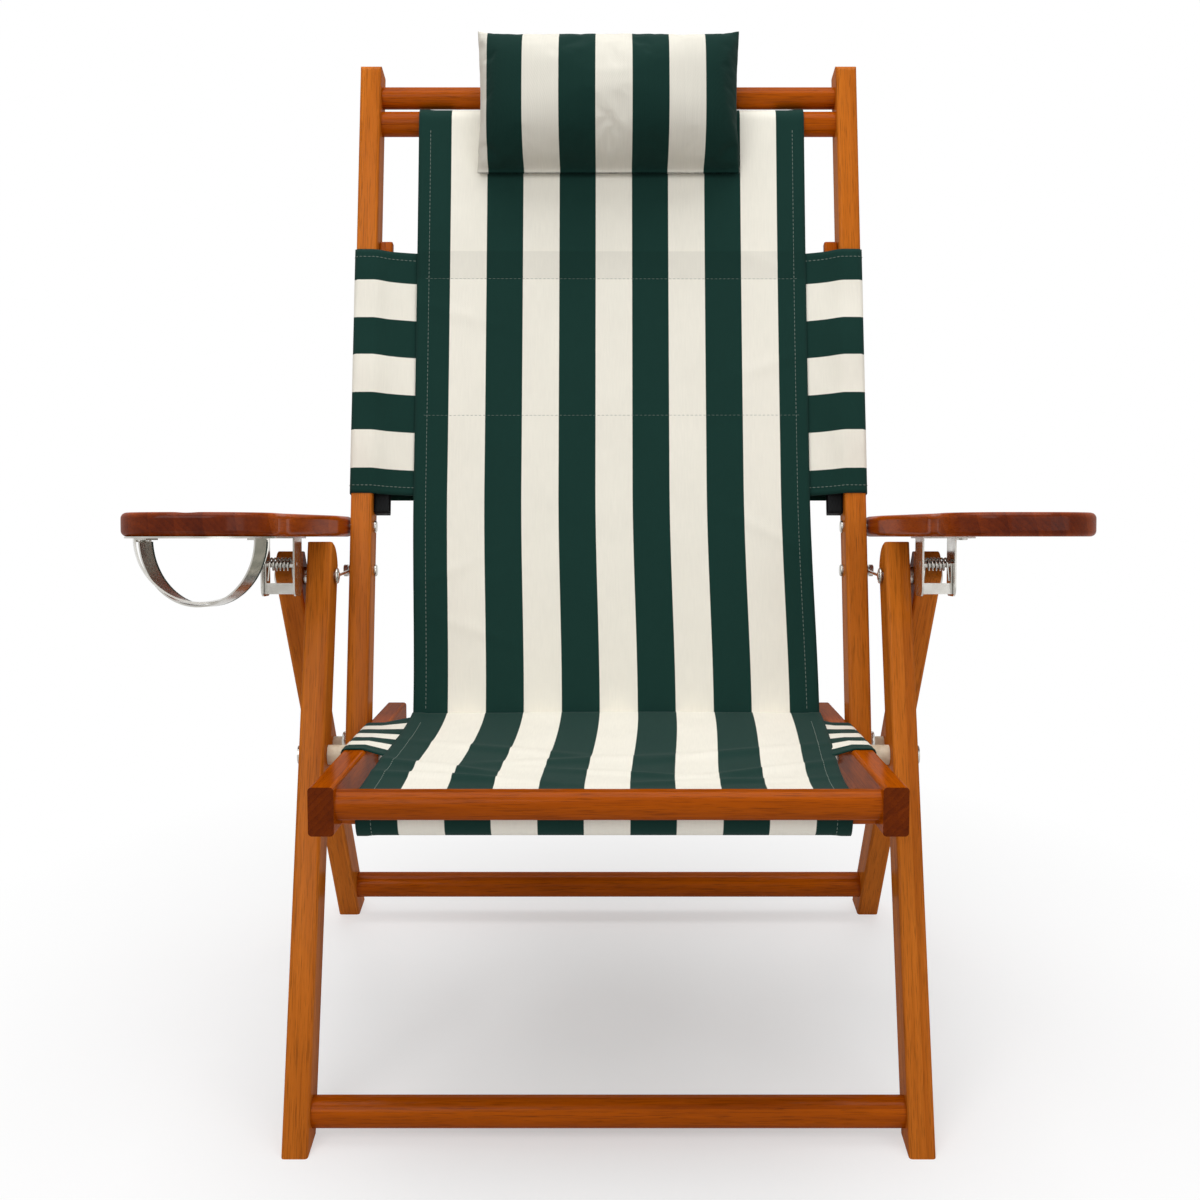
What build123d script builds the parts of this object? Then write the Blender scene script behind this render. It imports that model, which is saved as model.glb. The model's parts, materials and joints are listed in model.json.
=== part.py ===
from build123d import *
import math
import os

# A folding wooden beach chair with a striped canvas sling, paddle armrests,
# a strap cup basket under one armrest and a pillow over the top rail.
# Millimetres. The sitter looks along -Y, +X is on the right of someone facing the chair.
# Side-view points are (y, z), measured from the front foot on the floor.

# Timber sections
LEG_THICK = 23.0
LEG_DEPTH = 38.0
UPRIGHT_THICK = 21.0
UPRIGHT_DEPTH = 36.0
RAIL_THICK = 20.0
RAIL_DEPTH = 38.0
EASE = 3.0
TOP_ROUND = 26.0
REAR_ROUND = 18.5

# Layers across the width, from the middle outwards
SLING_HALF = 195.0
SLING_GAP = 15.0
RAIL_INNER = SLING_HALF + SLING_GAP
RAIL_GAP = 1.0
WIRE_GAP = 5.0
LEG_GAP = 5.0
UPRIGHT_INNER = RAIL_INNER + RAIL_THICK + RAIL_GAP
FRONT_INNER = UPRIGHT_INNER + UPRIGHT_THICK + WIRE_GAP
REAR_INNER = FRONT_INNER + LEG_THICK + LEG_GAP

# Leaning lines in the side view
FRONT_LEAN = 27.1
FRONT_TOP = 536.0
APEX_AT = 508.0
REAR_FOOT_Y = 501.0
REAR_TOP_PAST = 24.0
UPRIGHT_LEAN = 22.3
UPRIGHT_TOP = 684.0
UPRIGHT_TAIL = 24.0
SEAT_PIVOT = (180.0, 301.0)
HINGE = (258.0, 288.0)
HINGE_INSET = 2.2
RAIL_FRONT = 245.0
RAIL_REAR = 198.0

# Dowels
STRETCHER_DIA = 28.0
STRETCHER_AT = 28.0
REAR_STRETCHER_AT = 42.0
TOP_DIA = 22.0
TOP_SETBACK = 28.0
TOP_AT = UPRIGHT_TOP - TOP_SETBACK
SLING_DIA = 25.0
SLING_SETBACK = 56.0
SLING_AT = UPRIGHT_TOP - SLING_SETBACK
SEAT_DIA = 24.0
SEAT_FRONT_SETBACK = 14.0
SEAT_FRONT_RISE = 3.0
SEAT_SLING_SETBACK = 42.0
SEAT_SLING_DROP = 6.5
HINGE_DIA = 26.0
TENON_DIA = 16.0
TENON_DEPTH = 12.0

# Fits
FIT = 0.05
CLEAR = 0.4
SEATED = 0.3
OVERRUN = 1.0
FLOOR_CUT = 2000.0

# Fasteners
BOLT_DIA = 8.0
SMALL_BOLT_DIA = 6.0
HEAD_DIA = 17.0
HEAD_TALL = 4.0
CROWN = 0.6
CAP_TALL = 4.0
HINGE_BOLT_IN = 20.0
SMALL_HEAD_DIA = 12.0
SMALL_HEAD_TALL = 3.0
LINK_NUT_TALL = 4.0
SPACER_DIA = 18.0
SCREW_DIA = 4.0
SCREW_HEAD_DIA = 8.0
SCREW_HEAD_TALL = 1.6
SCREW_LENGTH = 12.0
CUP_SCREW_DIA = 2.5
CUP_SCREW_HEAD_DIA = 5.0

# Armrests
ARM_THICK = 20.0
ARM_TILT = 12.0
ARM_BOLT_AT = 210.0
ARM_GAP = 2.6
ARM_INNER = UPRIGHT_INNER + UPRIGHT_THICK + ARM_GAP
ARM_LENGTH = 292.0
ARM_TAIL = 16.0
ARM_NOSE = ARM_LENGTH - ARM_TAIL
ARM_REAR_WIDE = 71.4
ARM_FLARE = 60.0
PADDLE_IN = 23.4
PADDLE_WIDE = 132.0
PADDLE_LONG = 86.0
PADDLE_INNER = ARM_INNER + PADDLE_IN
PADDLE_OUTER = PADDLE_INNER + PADDLE_WIDE
PADDLE_BACK = ARM_NOSE - PADDLE_LONG
NOSE_ROUND = 0.38 * PADDLE_WIDE
SHOULDER_ROUND = 90.0
TAIL_ROUND = 18.0
ARM_EDGE = 5.0
ARM_BOLT_REACH = 36.0
CUP_HOLE_DIA = 90.0
CUP_SETBACK = 51.0
CUP_AT = ARM_NOSE - CUP_SETBACK

# Cup basket
BAND_RADIUS = 54.0
BAND_WIDTH = 17.0
BAND_THICK = 1.4
BAND_ANGLE = 20.0
BAND_CLEAR = 1.2
BAND_TAB = 8.0
CUP_PLATE_OUTER = 126.0
CUP_PLATE_THICK = 1.6
TRIM_WIDTH = 2.4

# Arm catch
PLATE_THICK = 1.6
CATCH_FRONT = 143.0
CATCH_LONG = 34.0
CATCH_DEEP = 54.0
CATCH_FLANGE_LONG = 56.0
CATCH_EAR = 17.0
CATCH_SPACE = 27.4
PIN_DIA = 6.0
PIN_DOWN = 25.0
PIN_BACK = 13.0
PIN_PROUD = 1.2
CATCH_SCREW_IN = 12.0
LEVER_THICK = 1.4
LEVER_SHORT = 2.0
LEVER_LIP = 10.0
LEVER_CHEEK = 9.0
SPRING_WIRE = 1.8
SPRING_MEAN = 10.6
SPRING_TURNS = 5
SPRING_PITCH = 3.3
SPRING_LEG = 15.0

# Link wires between the legs' top bolt and the uprights
WIRE_DIA = 3.0

# Rest pegs on the rear legs
PEG_DIA = 18.0
PEG_SHORT = 2.0
NOTCH_DEEP = 3.5

# Canvas
CANVAS = 1.6
SLING_SAG = 9.0
SEAT_SAG = 10.0
SEAM_RISE = 6.0
POCKET_ROUND = 3.0
POCKET_FROM = 237.0
POCKET_TO = 487.5
WRAP_TUCK = 1.5
BATTEN_WIDE = 13.0
BATTEN_DEEP = 12.0
BATTEN_EASE = 2.0
BATTEN_PROUD = 13.0
SEAT_WRAP_FROM = -84.0
SEAT_WRAP_TO = 58.0
SEAT_WRAP_LIP = 10.0
TAB_WIDE = 14.0
TAB_TALL = 8.0
TAB_INSET = 8.0

# Pillow
PILLOW_WIDE = 268.0
PILLOW_TALL = 158.0
PILLOW_THICK = 76.0
PILLOW_DRAW = 8.0
PILLOW_EDGE = 5.0
PILLOW_BELLY = 3.0
PILLOW_SHOULDER = 0.72
PILLOW_FALL = 0.8
PILLOW_RISE = 6.0
PILLOW_AT = SLING_AT + PILLOW_RISE
STRAP_WIDE = 30.0
STRAP_APART = 150.0


class Run:
    """A straight run in the side view: a base point, a heading and its left-hand normal."""

    def __init__(self, base, heading):
        self.base = base
        self.heading = heading
        self.dir = (math.cos(math.radians(heading)), math.sin(math.radians(heading)))

    def at(self, along, off=0.0):
        """The (y, z) point a distance along the run and a distance to its left."""
        y = self.base[0] + along * self.dir[0] - off * self.dir[1]
        z = self.base[1] + along * self.dir[1] + off * self.dir[0]
        return (y, z)

    def plane(self, x, along=0.0, off=0.0):
        """A side-view plane at x whose local X follows the run."""
        y, z = self.at(along, off)
        return Plane(origin=(x, y, z), x_dir=(0, *self.dir), z_dir=(1, 0, 0))

    def axis(self):
        """The direction of the run as an axis."""
        return Axis((0, 0, 0), (0, *self.dir))


def heading(start, end):
    """The angle in degrees from one side-view point to another."""
    return math.degrees(math.atan2(end[1] - start[1], end[0] - start[0]))


FRONT = Run((LEG_DEPTH / 2 / math.cos(math.radians(FRONT_LEAN)), 0.0), 90 - FRONT_LEAN)
APEX = FRONT.at(APEX_AT)
REAR = Run((REAR_FOOT_Y, 0.0), heading((REAR_FOOT_Y, 0.0), APEX))
REAR_LENGTH = math.dist((REAR_FOOT_Y, 0.0), APEX)
SEAT = Run(SEAT_PIVOT, heading(SEAT_PIVOT, HINGE))
CRANK = (HINGE[0] - SEAT_PIVOT[0], HINGE[1] - SEAT_PIVOT[1])
LINK_END = (APEX[0] + CRANK[0], APEX[1] + CRANK[1])
BACK = Run(Run(HINGE, 90 - UPRIGHT_LEAN).at(0, -HINGE_INSET), 90 - UPRIGHT_LEAN)
ARM_BOLT = BACK.at(ARM_BOLT_AT)
ARM = Run(ARM_BOLT, 180 - ARM_TILT)
ARM_UNDER = ARM_THICK / 2

nodes = {}


def add(name, shape):
    """Keep a finished piece under its node name."""
    nodes[name] = shape


def add_pair(name, shape):
    """Keep a piece for the +X side and its mirror image for the -X side."""
    nodes[name + "_right"] = shape
    nodes[name + "_left"] = mirror(shape, about=Plane.YZ)


def rod(point, x_from, x_to, dia):
    """A round bar across the chair, at a side-view point."""
    base = Plane(origin=(x_from, *point), z_dir=(1, 0, 0))
    return base * Cylinder(dia / 2, x_to - x_from, align=(Align.CENTER, Align.CENTER, Align.MIN))


def tube(point, x_from, x_to, bore, dia):
    """A round sleeve across the chair."""
    return rod(point, x_from, x_to, dia) - rod(point, x_from, x_to, bore)


def dowel(point, half, dia):
    """A dowel between two side pieces, with a turned tenon at each end."""
    tenon = rod(point, -half - TENON_DEPTH, half + TENON_DEPTH, TENON_DIA)
    return rod(point, -half, half, dia) + tenon


def socket(point, face):
    """The hole for a tenon in the inner face of a side piece on the +X side."""
    return rod(point, face - OVERRUN, face + TENON_DEPTH + FIT, TENON_DIA + 2 * FIT)


def bar(run, start, end, depth, x_from, thick):
    """A sawn bar that follows a run, with its long edges eased."""
    profile = Pos((start + end) / 2, 0) * Rectangle(end - start, depth)
    solid = extrude(run.plane(x_from) * profile, amount=thick)
    return fillet(solid.edges().filter_by(run.axis()), EASE)


def round_end(run, end, depth, x_from, thick, radius, off):
    """What to take off the end of a bar so that one corner is a round."""
    corner = Pos(end - radius / 2, off * (depth / 2 - radius / 2)) * Rectangle(radius, radius)
    disc = Pos(end - radius, off * (depth / 2 - radius)) * Circle(radius)
    return extrude(run.plane(x_from - OVERRUN) * (corner - disc), amount=thick + 2 * OVERRUN)


def pan_bolt(point, x_head, x_tip, dia, head_dia, head_tall, side):
    """A bolt across the chair; its domed head sits on x_head and points to the given side."""
    low, high = min(x_head, x_tip), max(x_head, x_tip)
    head = rod(point, x_head, x_head + head_tall, head_dia)
    if side < 0:
        head = rod(point, x_head - head_tall, x_head, head_dia)
    crown = head.faces().sort_by(Axis.X)[-1 if side > 0 else 0].edges()
    return rod(point, low, high, dia) + fillet(crown, head_tall * CROWN)


# Leg frames
FLOOR = Box(FLOOR_CUT, FLOOR_CUT, LEG_DEPTH * 4, align=(Align.CENTER, Align.CENTER, Align.MAX))
STRETCHER = FRONT.at(STRETCHER_AT)
REAR_STRETCHER = REAR.at(REAR_STRETCHER_AT)
FRONT_OUTER = FRONT_INNER + LEG_THICK
REAR_OUTER = REAR_INNER + LEG_THICK

front_leg = bar(FRONT, -LEG_DEPTH, FRONT_TOP, LEG_DEPTH, FRONT_INNER, LEG_THICK) - FLOOR
front_leg -= round_end(FRONT, FRONT_TOP, LEG_DEPTH, FRONT_INNER, LEG_THICK, TOP_ROUND, -1)
front_leg -= socket(STRETCHER, FRONT_INNER)
front_leg -= rod(APEX, FRONT_INNER - OVERRUN, FRONT_OUTER + OVERRUN, BOLT_DIA + 2 * FIT)
front_leg -= rod(SEAT_PIVOT, FRONT_INNER - OVERRUN, FRONT_OUTER + OVERRUN, BOLT_DIA + 2 * FIT)
add_pair("front_leg", front_leg)
add("front_stretcher", dowel(STRETCHER, FRONT_INNER, STRETCHER_DIA))

PEG_OFF = -(RAIL_DEPTH + PEG_DIA) / 2 - SEATED + NOTCH_DEEP


def crossing(run, other, off):
    """How far along a run it meets the line that lies off to the left of another run."""
    base = other.at(0, off)
    dy, dz = base[0] - run.base[0], base[1] - run.base[1]
    det = run.dir[0] * -other.dir[1] + other.dir[0] * run.dir[1]
    return (dy * -other.dir[1] + other.dir[0] * dz) / det


PEG = REAR.at(crossing(REAR, SEAT, PEG_OFF))
rear_leg = bar(REAR, -LEG_DEPTH, REAR_LENGTH + REAR_TOP_PAST, LEG_DEPTH, REAR_INNER, LEG_THICK) - FLOOR
for side in (-1, 1):
    end = REAR_LENGTH + REAR_TOP_PAST
    rear_leg -= round_end(REAR, end, LEG_DEPTH, REAR_INNER, LEG_THICK, REAR_ROUND, side)
rear_leg -= socket(REAR_STRETCHER, REAR_INNER)
rear_leg -= socket(PEG, REAR_INNER)
rear_leg -= rod(APEX, REAR_INNER - OVERRUN, REAR_OUTER + OVERRUN, BOLT_DIA + 2 * FIT)
add_pair("rear_leg", rear_leg)
add("rear_stretcher", dowel(REAR_STRETCHER, REAR_INNER, STRETCHER_DIA))

PEG_INNER = RAIL_INNER + PEG_SHORT
peg = rod(PEG, PEG_INNER, REAR_INNER, PEG_DIA)
peg += rod(PEG, REAR_INNER - OVERRUN, REAR_INNER + TENON_DEPTH, TENON_DIA)
add("rest_pegs", peg + mirror(peg, about=Plane.YZ))

# The bolt at the top of the legs carries both legs and the link wire
WIRE_X = FRONT_INNER - WIRE_GAP / 2
apex_tip = FRONT_INNER - WIRE_GAP + CLEAR
apex_bolt = pan_bolt(APEX, REAR_OUTER + SEATED, apex_tip, BOLT_DIA, HEAD_DIA, HEAD_TALL, 1)
add_pair("apex_bolt", apex_bolt)
washer = tube(APEX, FRONT_OUTER, REAR_INNER - SEATED, BOLT_DIA + 2 * FIT, HEAD_DIA)
add("apex_washers", washer + mirror(washer, about=Plane.YZ))

# Seat frame
RAIL_OUTER = RAIL_INNER + RAIL_THICK
FRONT_DOWEL = SEAT.at(SEAT_FRONT_SETBACK - RAIL_FRONT, SEAT_FRONT_RISE)
SLING_DOWEL = SEAT.at(SEAT_SLING_SETBACK - RAIL_FRONT, -SEAT_SLING_DROP)

rail = bar(SEAT, -RAIL_FRONT, RAIL_REAR, RAIL_DEPTH, RAIL_INNER, RAIL_THICK)
rail -= socket(FRONT_DOWEL, RAIL_INNER)
rail -= socket(SLING_DOWEL, RAIL_INNER)
rail -= rod(SEAT_PIVOT, RAIL_INNER - OVERRUN, RAIL_OUTER + OVERRUN, BOLT_DIA + 2 * FIT)
rail -= rod(HINGE, RAIL_INNER - OVERRUN, RAIL_OUTER + OVERRUN, BOLT_DIA + 2 * FIT)
rail -= rod(PEG, RAIL_INNER - OVERRUN, RAIL_OUTER + OVERRUN, PEG_DIA + 2 * SEATED)
add_pair("seat_rail", rail)
add("seat_front_dowel", dowel(FRONT_DOWEL, RAIL_INNER, SEAT_DIA))
add("seat_sling_dowel", dowel(SLING_DOWEL, RAIL_INNER, SEAT_DIA))

hinge_dowel = rod(HINGE, -RAIL_INNER, RAIL_INNER, HINGE_DIA)
for side in (-1, 1):
    end = side * (RAIL_INNER - HINGE_BOLT_IN / 2)
    hinge_dowel -= rod(HINGE, end - HINGE_BOLT_IN / 2, end + HINGE_BOLT_IN / 2, BOLT_DIA + 2 * FIT)
add("hinge_dowel", hinge_dowel)

UPRIGHT_OUTER = UPRIGHT_INNER + UPRIGHT_THICK
cap_face = UPRIGHT_OUTER + CLEAR
hinge_bolt = pan_bolt(HINGE, cap_face, RAIL_INNER - HINGE_BOLT_IN, BOLT_DIA, HEAD_DIA, CAP_TALL, 1)
add("hinge_bolts", hinge_bolt + mirror(hinge_bolt, about=Plane.YZ))

seat_tip = FRONT_OUTER + HEAD_TALL
seat_bolt = pan_bolt(SEAT_PIVOT, RAIL_INNER - SEATED, seat_tip, BOLT_DIA, HEAD_DIA, HEAD_TALL, -1)
add("seat_bolts", seat_bolt + mirror(seat_bolt, about=Plane.YZ))
nut = tube(SEAT_PIVOT, FRONT_OUTER, FRONT_OUTER + HEAD_TALL, BOLT_DIA + 2 * FIT, HEAD_DIA)
add("seat_nuts", nut + mirror(nut, about=Plane.YZ))
spacer = tube(SEAT_PIVOT, RAIL_OUTER + SEATED, FRONT_INNER - SEATED, BOLT_DIA + 2 * FIT, SPACER_DIA)
add("seat_spacers", spacer + mirror(spacer, about=Plane.YZ))

# Back frame
TOP_POINT = BACK.at(TOP_AT)
SLING_POINT = BACK.at(SLING_AT)
upright = bar(BACK, -UPRIGHT_TAIL, UPRIGHT_TOP, UPRIGHT_DEPTH, UPRIGHT_INNER, UPRIGHT_THICK)
for side in (-1, 1):
    upright -= round_end(BACK, UPRIGHT_TOP, UPRIGHT_DEPTH, UPRIGHT_INNER, UPRIGHT_THICK, EASE * 2, side)
upright -= socket(TOP_POINT, UPRIGHT_INNER)
upright -= socket(SLING_POINT, UPRIGHT_INNER)
upright -= rod(HINGE, UPRIGHT_INNER - OVERRUN, UPRIGHT_OUTER + OVERRUN, BOLT_DIA + 2 * FIT)
upright -= rod(ARM_BOLT, UPRIGHT_INNER - OVERRUN, UPRIGHT_OUTER + OVERRUN, SMALL_BOLT_DIA + 2 * FIT)
upright -= rod(LINK_END, UPRIGHT_INNER - OVERRUN, UPRIGHT_OUTER + OVERRUN, SMALL_BOLT_DIA + 2 * FIT)
add_pair("upright", upright)
add("top_dowel", dowel(TOP_POINT, UPRIGHT_INNER, TOP_DIA))
add("sling_dowel", dowel(SLING_POINT, UPRIGHT_INNER, SLING_DIA))

arm_tip = ARM_INNER + ARM_BOLT_REACH
arm_bolt = pan_bolt(ARM_BOLT, UPRIGHT_INNER, arm_tip, SMALL_BOLT_DIA, SMALL_HEAD_DIA, SMALL_HEAD_TALL, -1)
add("arm_bolts", arm_bolt + mirror(arm_bolt, about=Plane.YZ))
link_tip = FRONT_INNER + SMALL_HEAD_TALL
link_bolt = pan_bolt(LINK_END, UPRIGHT_INNER, link_tip, SMALL_BOLT_DIA, SMALL_HEAD_DIA, SMALL_HEAD_TALL, -1)
link_nut = rod(LINK_END, FRONT_INNER - SEATED, FRONT_INNER + LINK_NUT_TALL, SMALL_HEAD_DIA)
link_bolt += fillet(link_nut.edges().group_by(Axis.X)[-1], 1.0)
add("link_bolts", link_bolt + mirror(link_bolt, about=Plane.YZ))

# Link wires: an eye on the legs' bolt, a straight run and an eye on the upright's bolt
APEX_EYE = BOLT_DIA / 2 + CLEAR + WIRE_DIA / 2
LINK_EYE = SMALL_BOLT_DIA / 2 + CLEAR + WIRE_DIA / 2
LINK = Run(APEX, heading(APEX, LINK_END))
LINK_LONG = math.dist(APEX, LINK_END)


def ring(point, mean, wire, x):
    """A closed eye of round wire about an axis across the chair."""
    return Plane(origin=(x, *point), z_dir=(1, 0, 0)) * Torus(mean, wire / 2)


shank = LINK.plane(WIRE_X) * (Rot(0, 90, 0) * Cylinder(WIRE_DIA / 2, LINK_LONG - APEX_EYE - LINK_EYE))
shank = Pos(0, *[LINK.dir[i] * (LINK_LONG + APEX_EYE - LINK_EYE) / 2 for i in (0, 1)]) * shank
link_wire = ring(APEX, APEX_EYE, WIRE_DIA, WIRE_X) + ring(LINK_END, LINK_EYE, WIRE_DIA, WIRE_X) + shank
add_pair("link_wire", link_wire)

# Armrests: a paddle in plan, tilted up to the front, with the bolt in its rear edge
ARM_REAR_OUTER = ARM_INNER + ARM_REAR_WIDE
ARM_DOWN = (0, -ARM.dir[1], ARM.dir[0])
ARM_TOP = Plane(origin=(0, *ARM.at(0, -ARM_UNDER)), x_dir=(1, 0, 0), z_dir=ARM_DOWN)
ARM_BELOW = Plane(origin=(0, *ARM.at(0, ARM_UNDER)), x_dir=(1, 0, 0), z_dir=ARM_DOWN)
CUP_X = (PADDLE_INNER + PADDLE_OUTER) / 2

outline = Polyline(
    (ARM_INNER, -ARM_TAIL),
    (ARM_REAR_OUTER, -ARM_TAIL),
    (PADDLE_OUTER, PADDLE_BACK),
    (PADDLE_OUTER, ARM_NOSE),
    (PADDLE_INNER, ARM_NOSE),
    (PADDLE_INNER, PADDLE_BACK),
    (ARM_INNER, ARM_FLARE),
    close=True,
)
plan = make_face(outline)


def plan_corner(x, forward):
    """The corner of the armrest's outline nearest to a point."""
    return plan.vertices().sort_by_distance((x, forward, 0))[0]


plan = fillet(plan_corner(PADDLE_OUTER, ARM_NOSE), NOSE_ROUND)
plan = fillet(plan_corner(PADDLE_INNER, ARM_NOSE), NOSE_ROUND)
plan = fillet(plan_corner(PADDLE_OUTER, PADDLE_BACK), SHOULDER_ROUND)
plan = fillet(plan_corner(PADDLE_INNER, PADDLE_BACK), SHOULDER_ROUND)
plan = fillet(plan_corner(ARM_INNER, ARM_FLARE), SHOULDER_ROUND)
plan = fillet(plan_corner(ARM_REAR_OUTER, -ARM_TAIL), TAIL_ROUND)

board = extrude(ARM_TOP * plan, amount=ARM_THICK)
rims = board.faces().filter_by(Plane(origin=(0, 0, 0), z_dir=ARM_DOWN)).edges()
board = fillet(rims, ARM_EDGE)
board -= rod(ARM_BOLT, ARM_INNER - OVERRUN, arm_tip + FIT, SMALL_BOLT_DIA + 2 * FIT)
add("armrest_right", board)
cup_hole = ARM_TOP * Pos(CUP_X, CUP_AT, ARM_THICK / 2) * Cylinder(CUP_HOLE_DIA / 2, ARM_THICK + 2 * OVERRUN)
cup_board = board - cup_hole
circles = cup_board.edges().filter_by(GeomType.CIRCLE)
hole_rims = [edge for edge in circles if abs(edge.radius - CUP_HOLE_DIA / 2) < FIT]
add("armrest_left", mirror(fillet(hole_rims, ARM_EDGE / 2), about=Plane.YZ))

# Cup basket under the left armrest: a ring plate and two crossed straps
cup = ARM_BELOW * Pos(CUP_X, CUP_AT, 0)
plate = extrude(Circle(CUP_PLATE_OUTER / 2) - Circle(CUP_HOLE_DIA / 2 + OVERRUN), amount=CUP_PLATE_THICK)
add("cup_plate", mirror(cup * plate, about=Plane.YZ))


def hoop(radius, angle, width, start):
    """A half-round strap below the cup ring, turned in plan, with its flat tabs."""
    band = Circle(radius + BAND_THICK) - Circle(radius) - Pos(0, -radius) * Rectangle(4 * radius, 2 * radius)
    for side in (-1, 1):
        centre = side * (radius + BAND_THICK - BAND_TAB / 2)
        band += Pos(centre, BAND_THICK / 2) * Rectangle(BAND_TAB, BAND_THICK)
    turn = math.radians(angle)
    across = (math.sin(turn), -math.cos(turn), 0)
    face = Plane(origin=(0, 0, CUP_PLATE_THICK), x_dir=(math.cos(turn), math.sin(turn), 0), z_dir=across)
    return extrude(face.offset(start) * band, amount=width)


NEST = BAND_THICK + BAND_CLEAR
inner_band = hoop(BAND_RADIUS, BAND_ANGLE, BAND_WIDTH, -BAND_WIDTH / 2)
add("cup_band_inner", mirror(cup * inner_band, about=Plane.YZ))
outer_band = hoop(BAND_RADIUS + NEST, -BAND_ANGLE, BAND_WIDTH, -BAND_WIDTH / 2)
add("cup_band_outer", mirror(cup * outer_band, about=Plane.YZ))
trim = hoop(BAND_RADIUS + NEST, -BAND_ANGLE, TRIM_WIDTH, BAND_WIDTH / 2)
trim -= Pos(0, 0, CUP_PLATE_THICK) * Box(4 * BAND_RADIUS, 4 * BAND_RADIUS, 4 * BAND_THICK)
add("cup_band_trim", mirror(cup * trim, about=Plane.YZ))

# Arm catches: a steel channel under each armrest, a pin, a coiled spring and a release lever
CATCH_INNER = FRONT_OUTER + (LEG_GAP - PLATE_THICK) / 2
CATCH_OUTER = CATCH_INNER + PLATE_THICK + CATCH_SPACE
PIN = ARM.at(CATCH_FRONT - PIN_BACK, ARM_UNDER + PIN_DOWN)


def arm_box(x_from, x_to, back, front, top, bottom):
    """A block under the armrest, by its place across, along and below the underside."""
    middle = Pos((x_from + x_to) / 2, (back + front) / 2, (top + bottom) / 2)
    return ARM_BELOW * middle * Box(x_to - x_from, front - back, bottom - top)


CATCH_BACK = CATCH_FRONT - CATCH_LONG
flange_back = CATCH_FRONT - CATCH_FLANGE_LONG
CATCH_EAR_OUT = CATCH_OUTER + PLATE_THICK + CATCH_EAR
channel = arm_box(CATCH_INNER, CATCH_EAR_OUT, flange_back, CATCH_FRONT, 0, PLATE_THICK)
wall_shape = Rectangle(CATCH_LONG, CATCH_DEEP)
wall_shape = Pos((CATCH_BACK + CATCH_FRONT) / 2, ARM_UNDER + CATCH_DEEP / 2) * wall_shape
low = wall_shape.vertices().group_by(Axis.Y)[-1]
wall_shape = fillet(low, CATCH_LONG / 4)
for x in (CATCH_INNER, CATCH_OUTER):
    channel += extrude(ARM.plane(x) * wall_shape, amount=PLATE_THICK)
channel -= rod(PIN, CATCH_INNER - OVERRUN, CATCH_OUTER + PLATE_THICK + OVERRUN, PIN_DIA + 2 * FIT)
CATCH_SCREWS_AT = (CATCH_SCREW_IN, CATCH_FLANGE_LONG - CATCH_SCREW_IN)
SCREWS = [(CATCH_OUTER + PLATE_THICK + CATCH_EAR / 2, CATCH_FRONT - at) for at in CATCH_SCREWS_AT]


def screw(x, forward, below, dia, head_dia):
    """A pan-head wood screw driven up into the armrest from a depth below its underside."""
    shank = Cylinder(dia / 2, SCREW_LENGTH + below, align=(Align.CENTER, Align.CENTER, Align.MAX))
    cap = Cylinder(head_dia / 2, SCREW_HEAD_TALL, align=(Align.CENTER, Align.CENTER, Align.MIN))
    cap = fillet(cap.edges().group_by(Axis.Z)[-1], SCREW_HEAD_TALL * CROWN)
    return ARM_BELOW * Pos(x, forward, below) * (shank + cap)


def screw_hole(x, forward, below, dia):
    """The hole that a screw leaves in the plate and the armrest."""
    deep = SCREW_LENGTH + below + FIT
    hole = Cylinder(dia / 2 + FIT, deep, align=(Align.CENTER, Align.CENTER, Align.MAX))
    return ARM_BELOW * Pos(x, forward, below) * hole


catch_screws = Part()
for x, forward in SCREWS:
    hole = screw_hole(x, forward, PLATE_THICK, SCREW_DIA)
    channel -= hole
    nodes["armrest_right"] -= hole
    nodes["armrest_left"] -= mirror(hole, about=Plane.YZ)
    catch_screws += screw(x, forward, PLATE_THICK, SCREW_DIA, SCREW_HEAD_DIA)
add_pair("catch_bracket", channel)
add_pair("catch_screws", catch_screws)
pin_end = CATCH_OUTER + PLATE_THICK + PIN_PROUD
catch_pin = pan_bolt(PIN, CATCH_INNER, pin_end, PIN_DIA, PIN_DIA, FIT * 4, -1)
add_pair("catch_pin", catch_pin)

cup_screws = Part()
cup_holes = Part()
for angle, radius in ((BAND_ANGLE, BAND_RADIUS), (-BAND_ANGLE, BAND_RADIUS + NEST)):
    for side in (-1, 1):
        reach = side * (radius + BAND_THICK - BAND_TAB / 2)
        x = CUP_X + reach * math.cos(math.radians(angle))
        forward = CUP_AT + reach * math.sin(math.radians(angle))
        tab = CUP_PLATE_THICK + BAND_THICK
        cup_screws += screw(x, forward, tab, CUP_SCREW_DIA, CUP_SCREW_HEAD_DIA)
        cup_holes += screw_hole(x, forward, tab, CUP_SCREW_DIA)
cup_holes = mirror(cup_holes, about=Plane.YZ)
for name in ("armrest_left", "cup_plate", "cup_band_inner", "cup_band_outer"):
    nodes[name] -= cup_holes
add("cup_screws", mirror(cup_screws, about=Plane.YZ))

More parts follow.
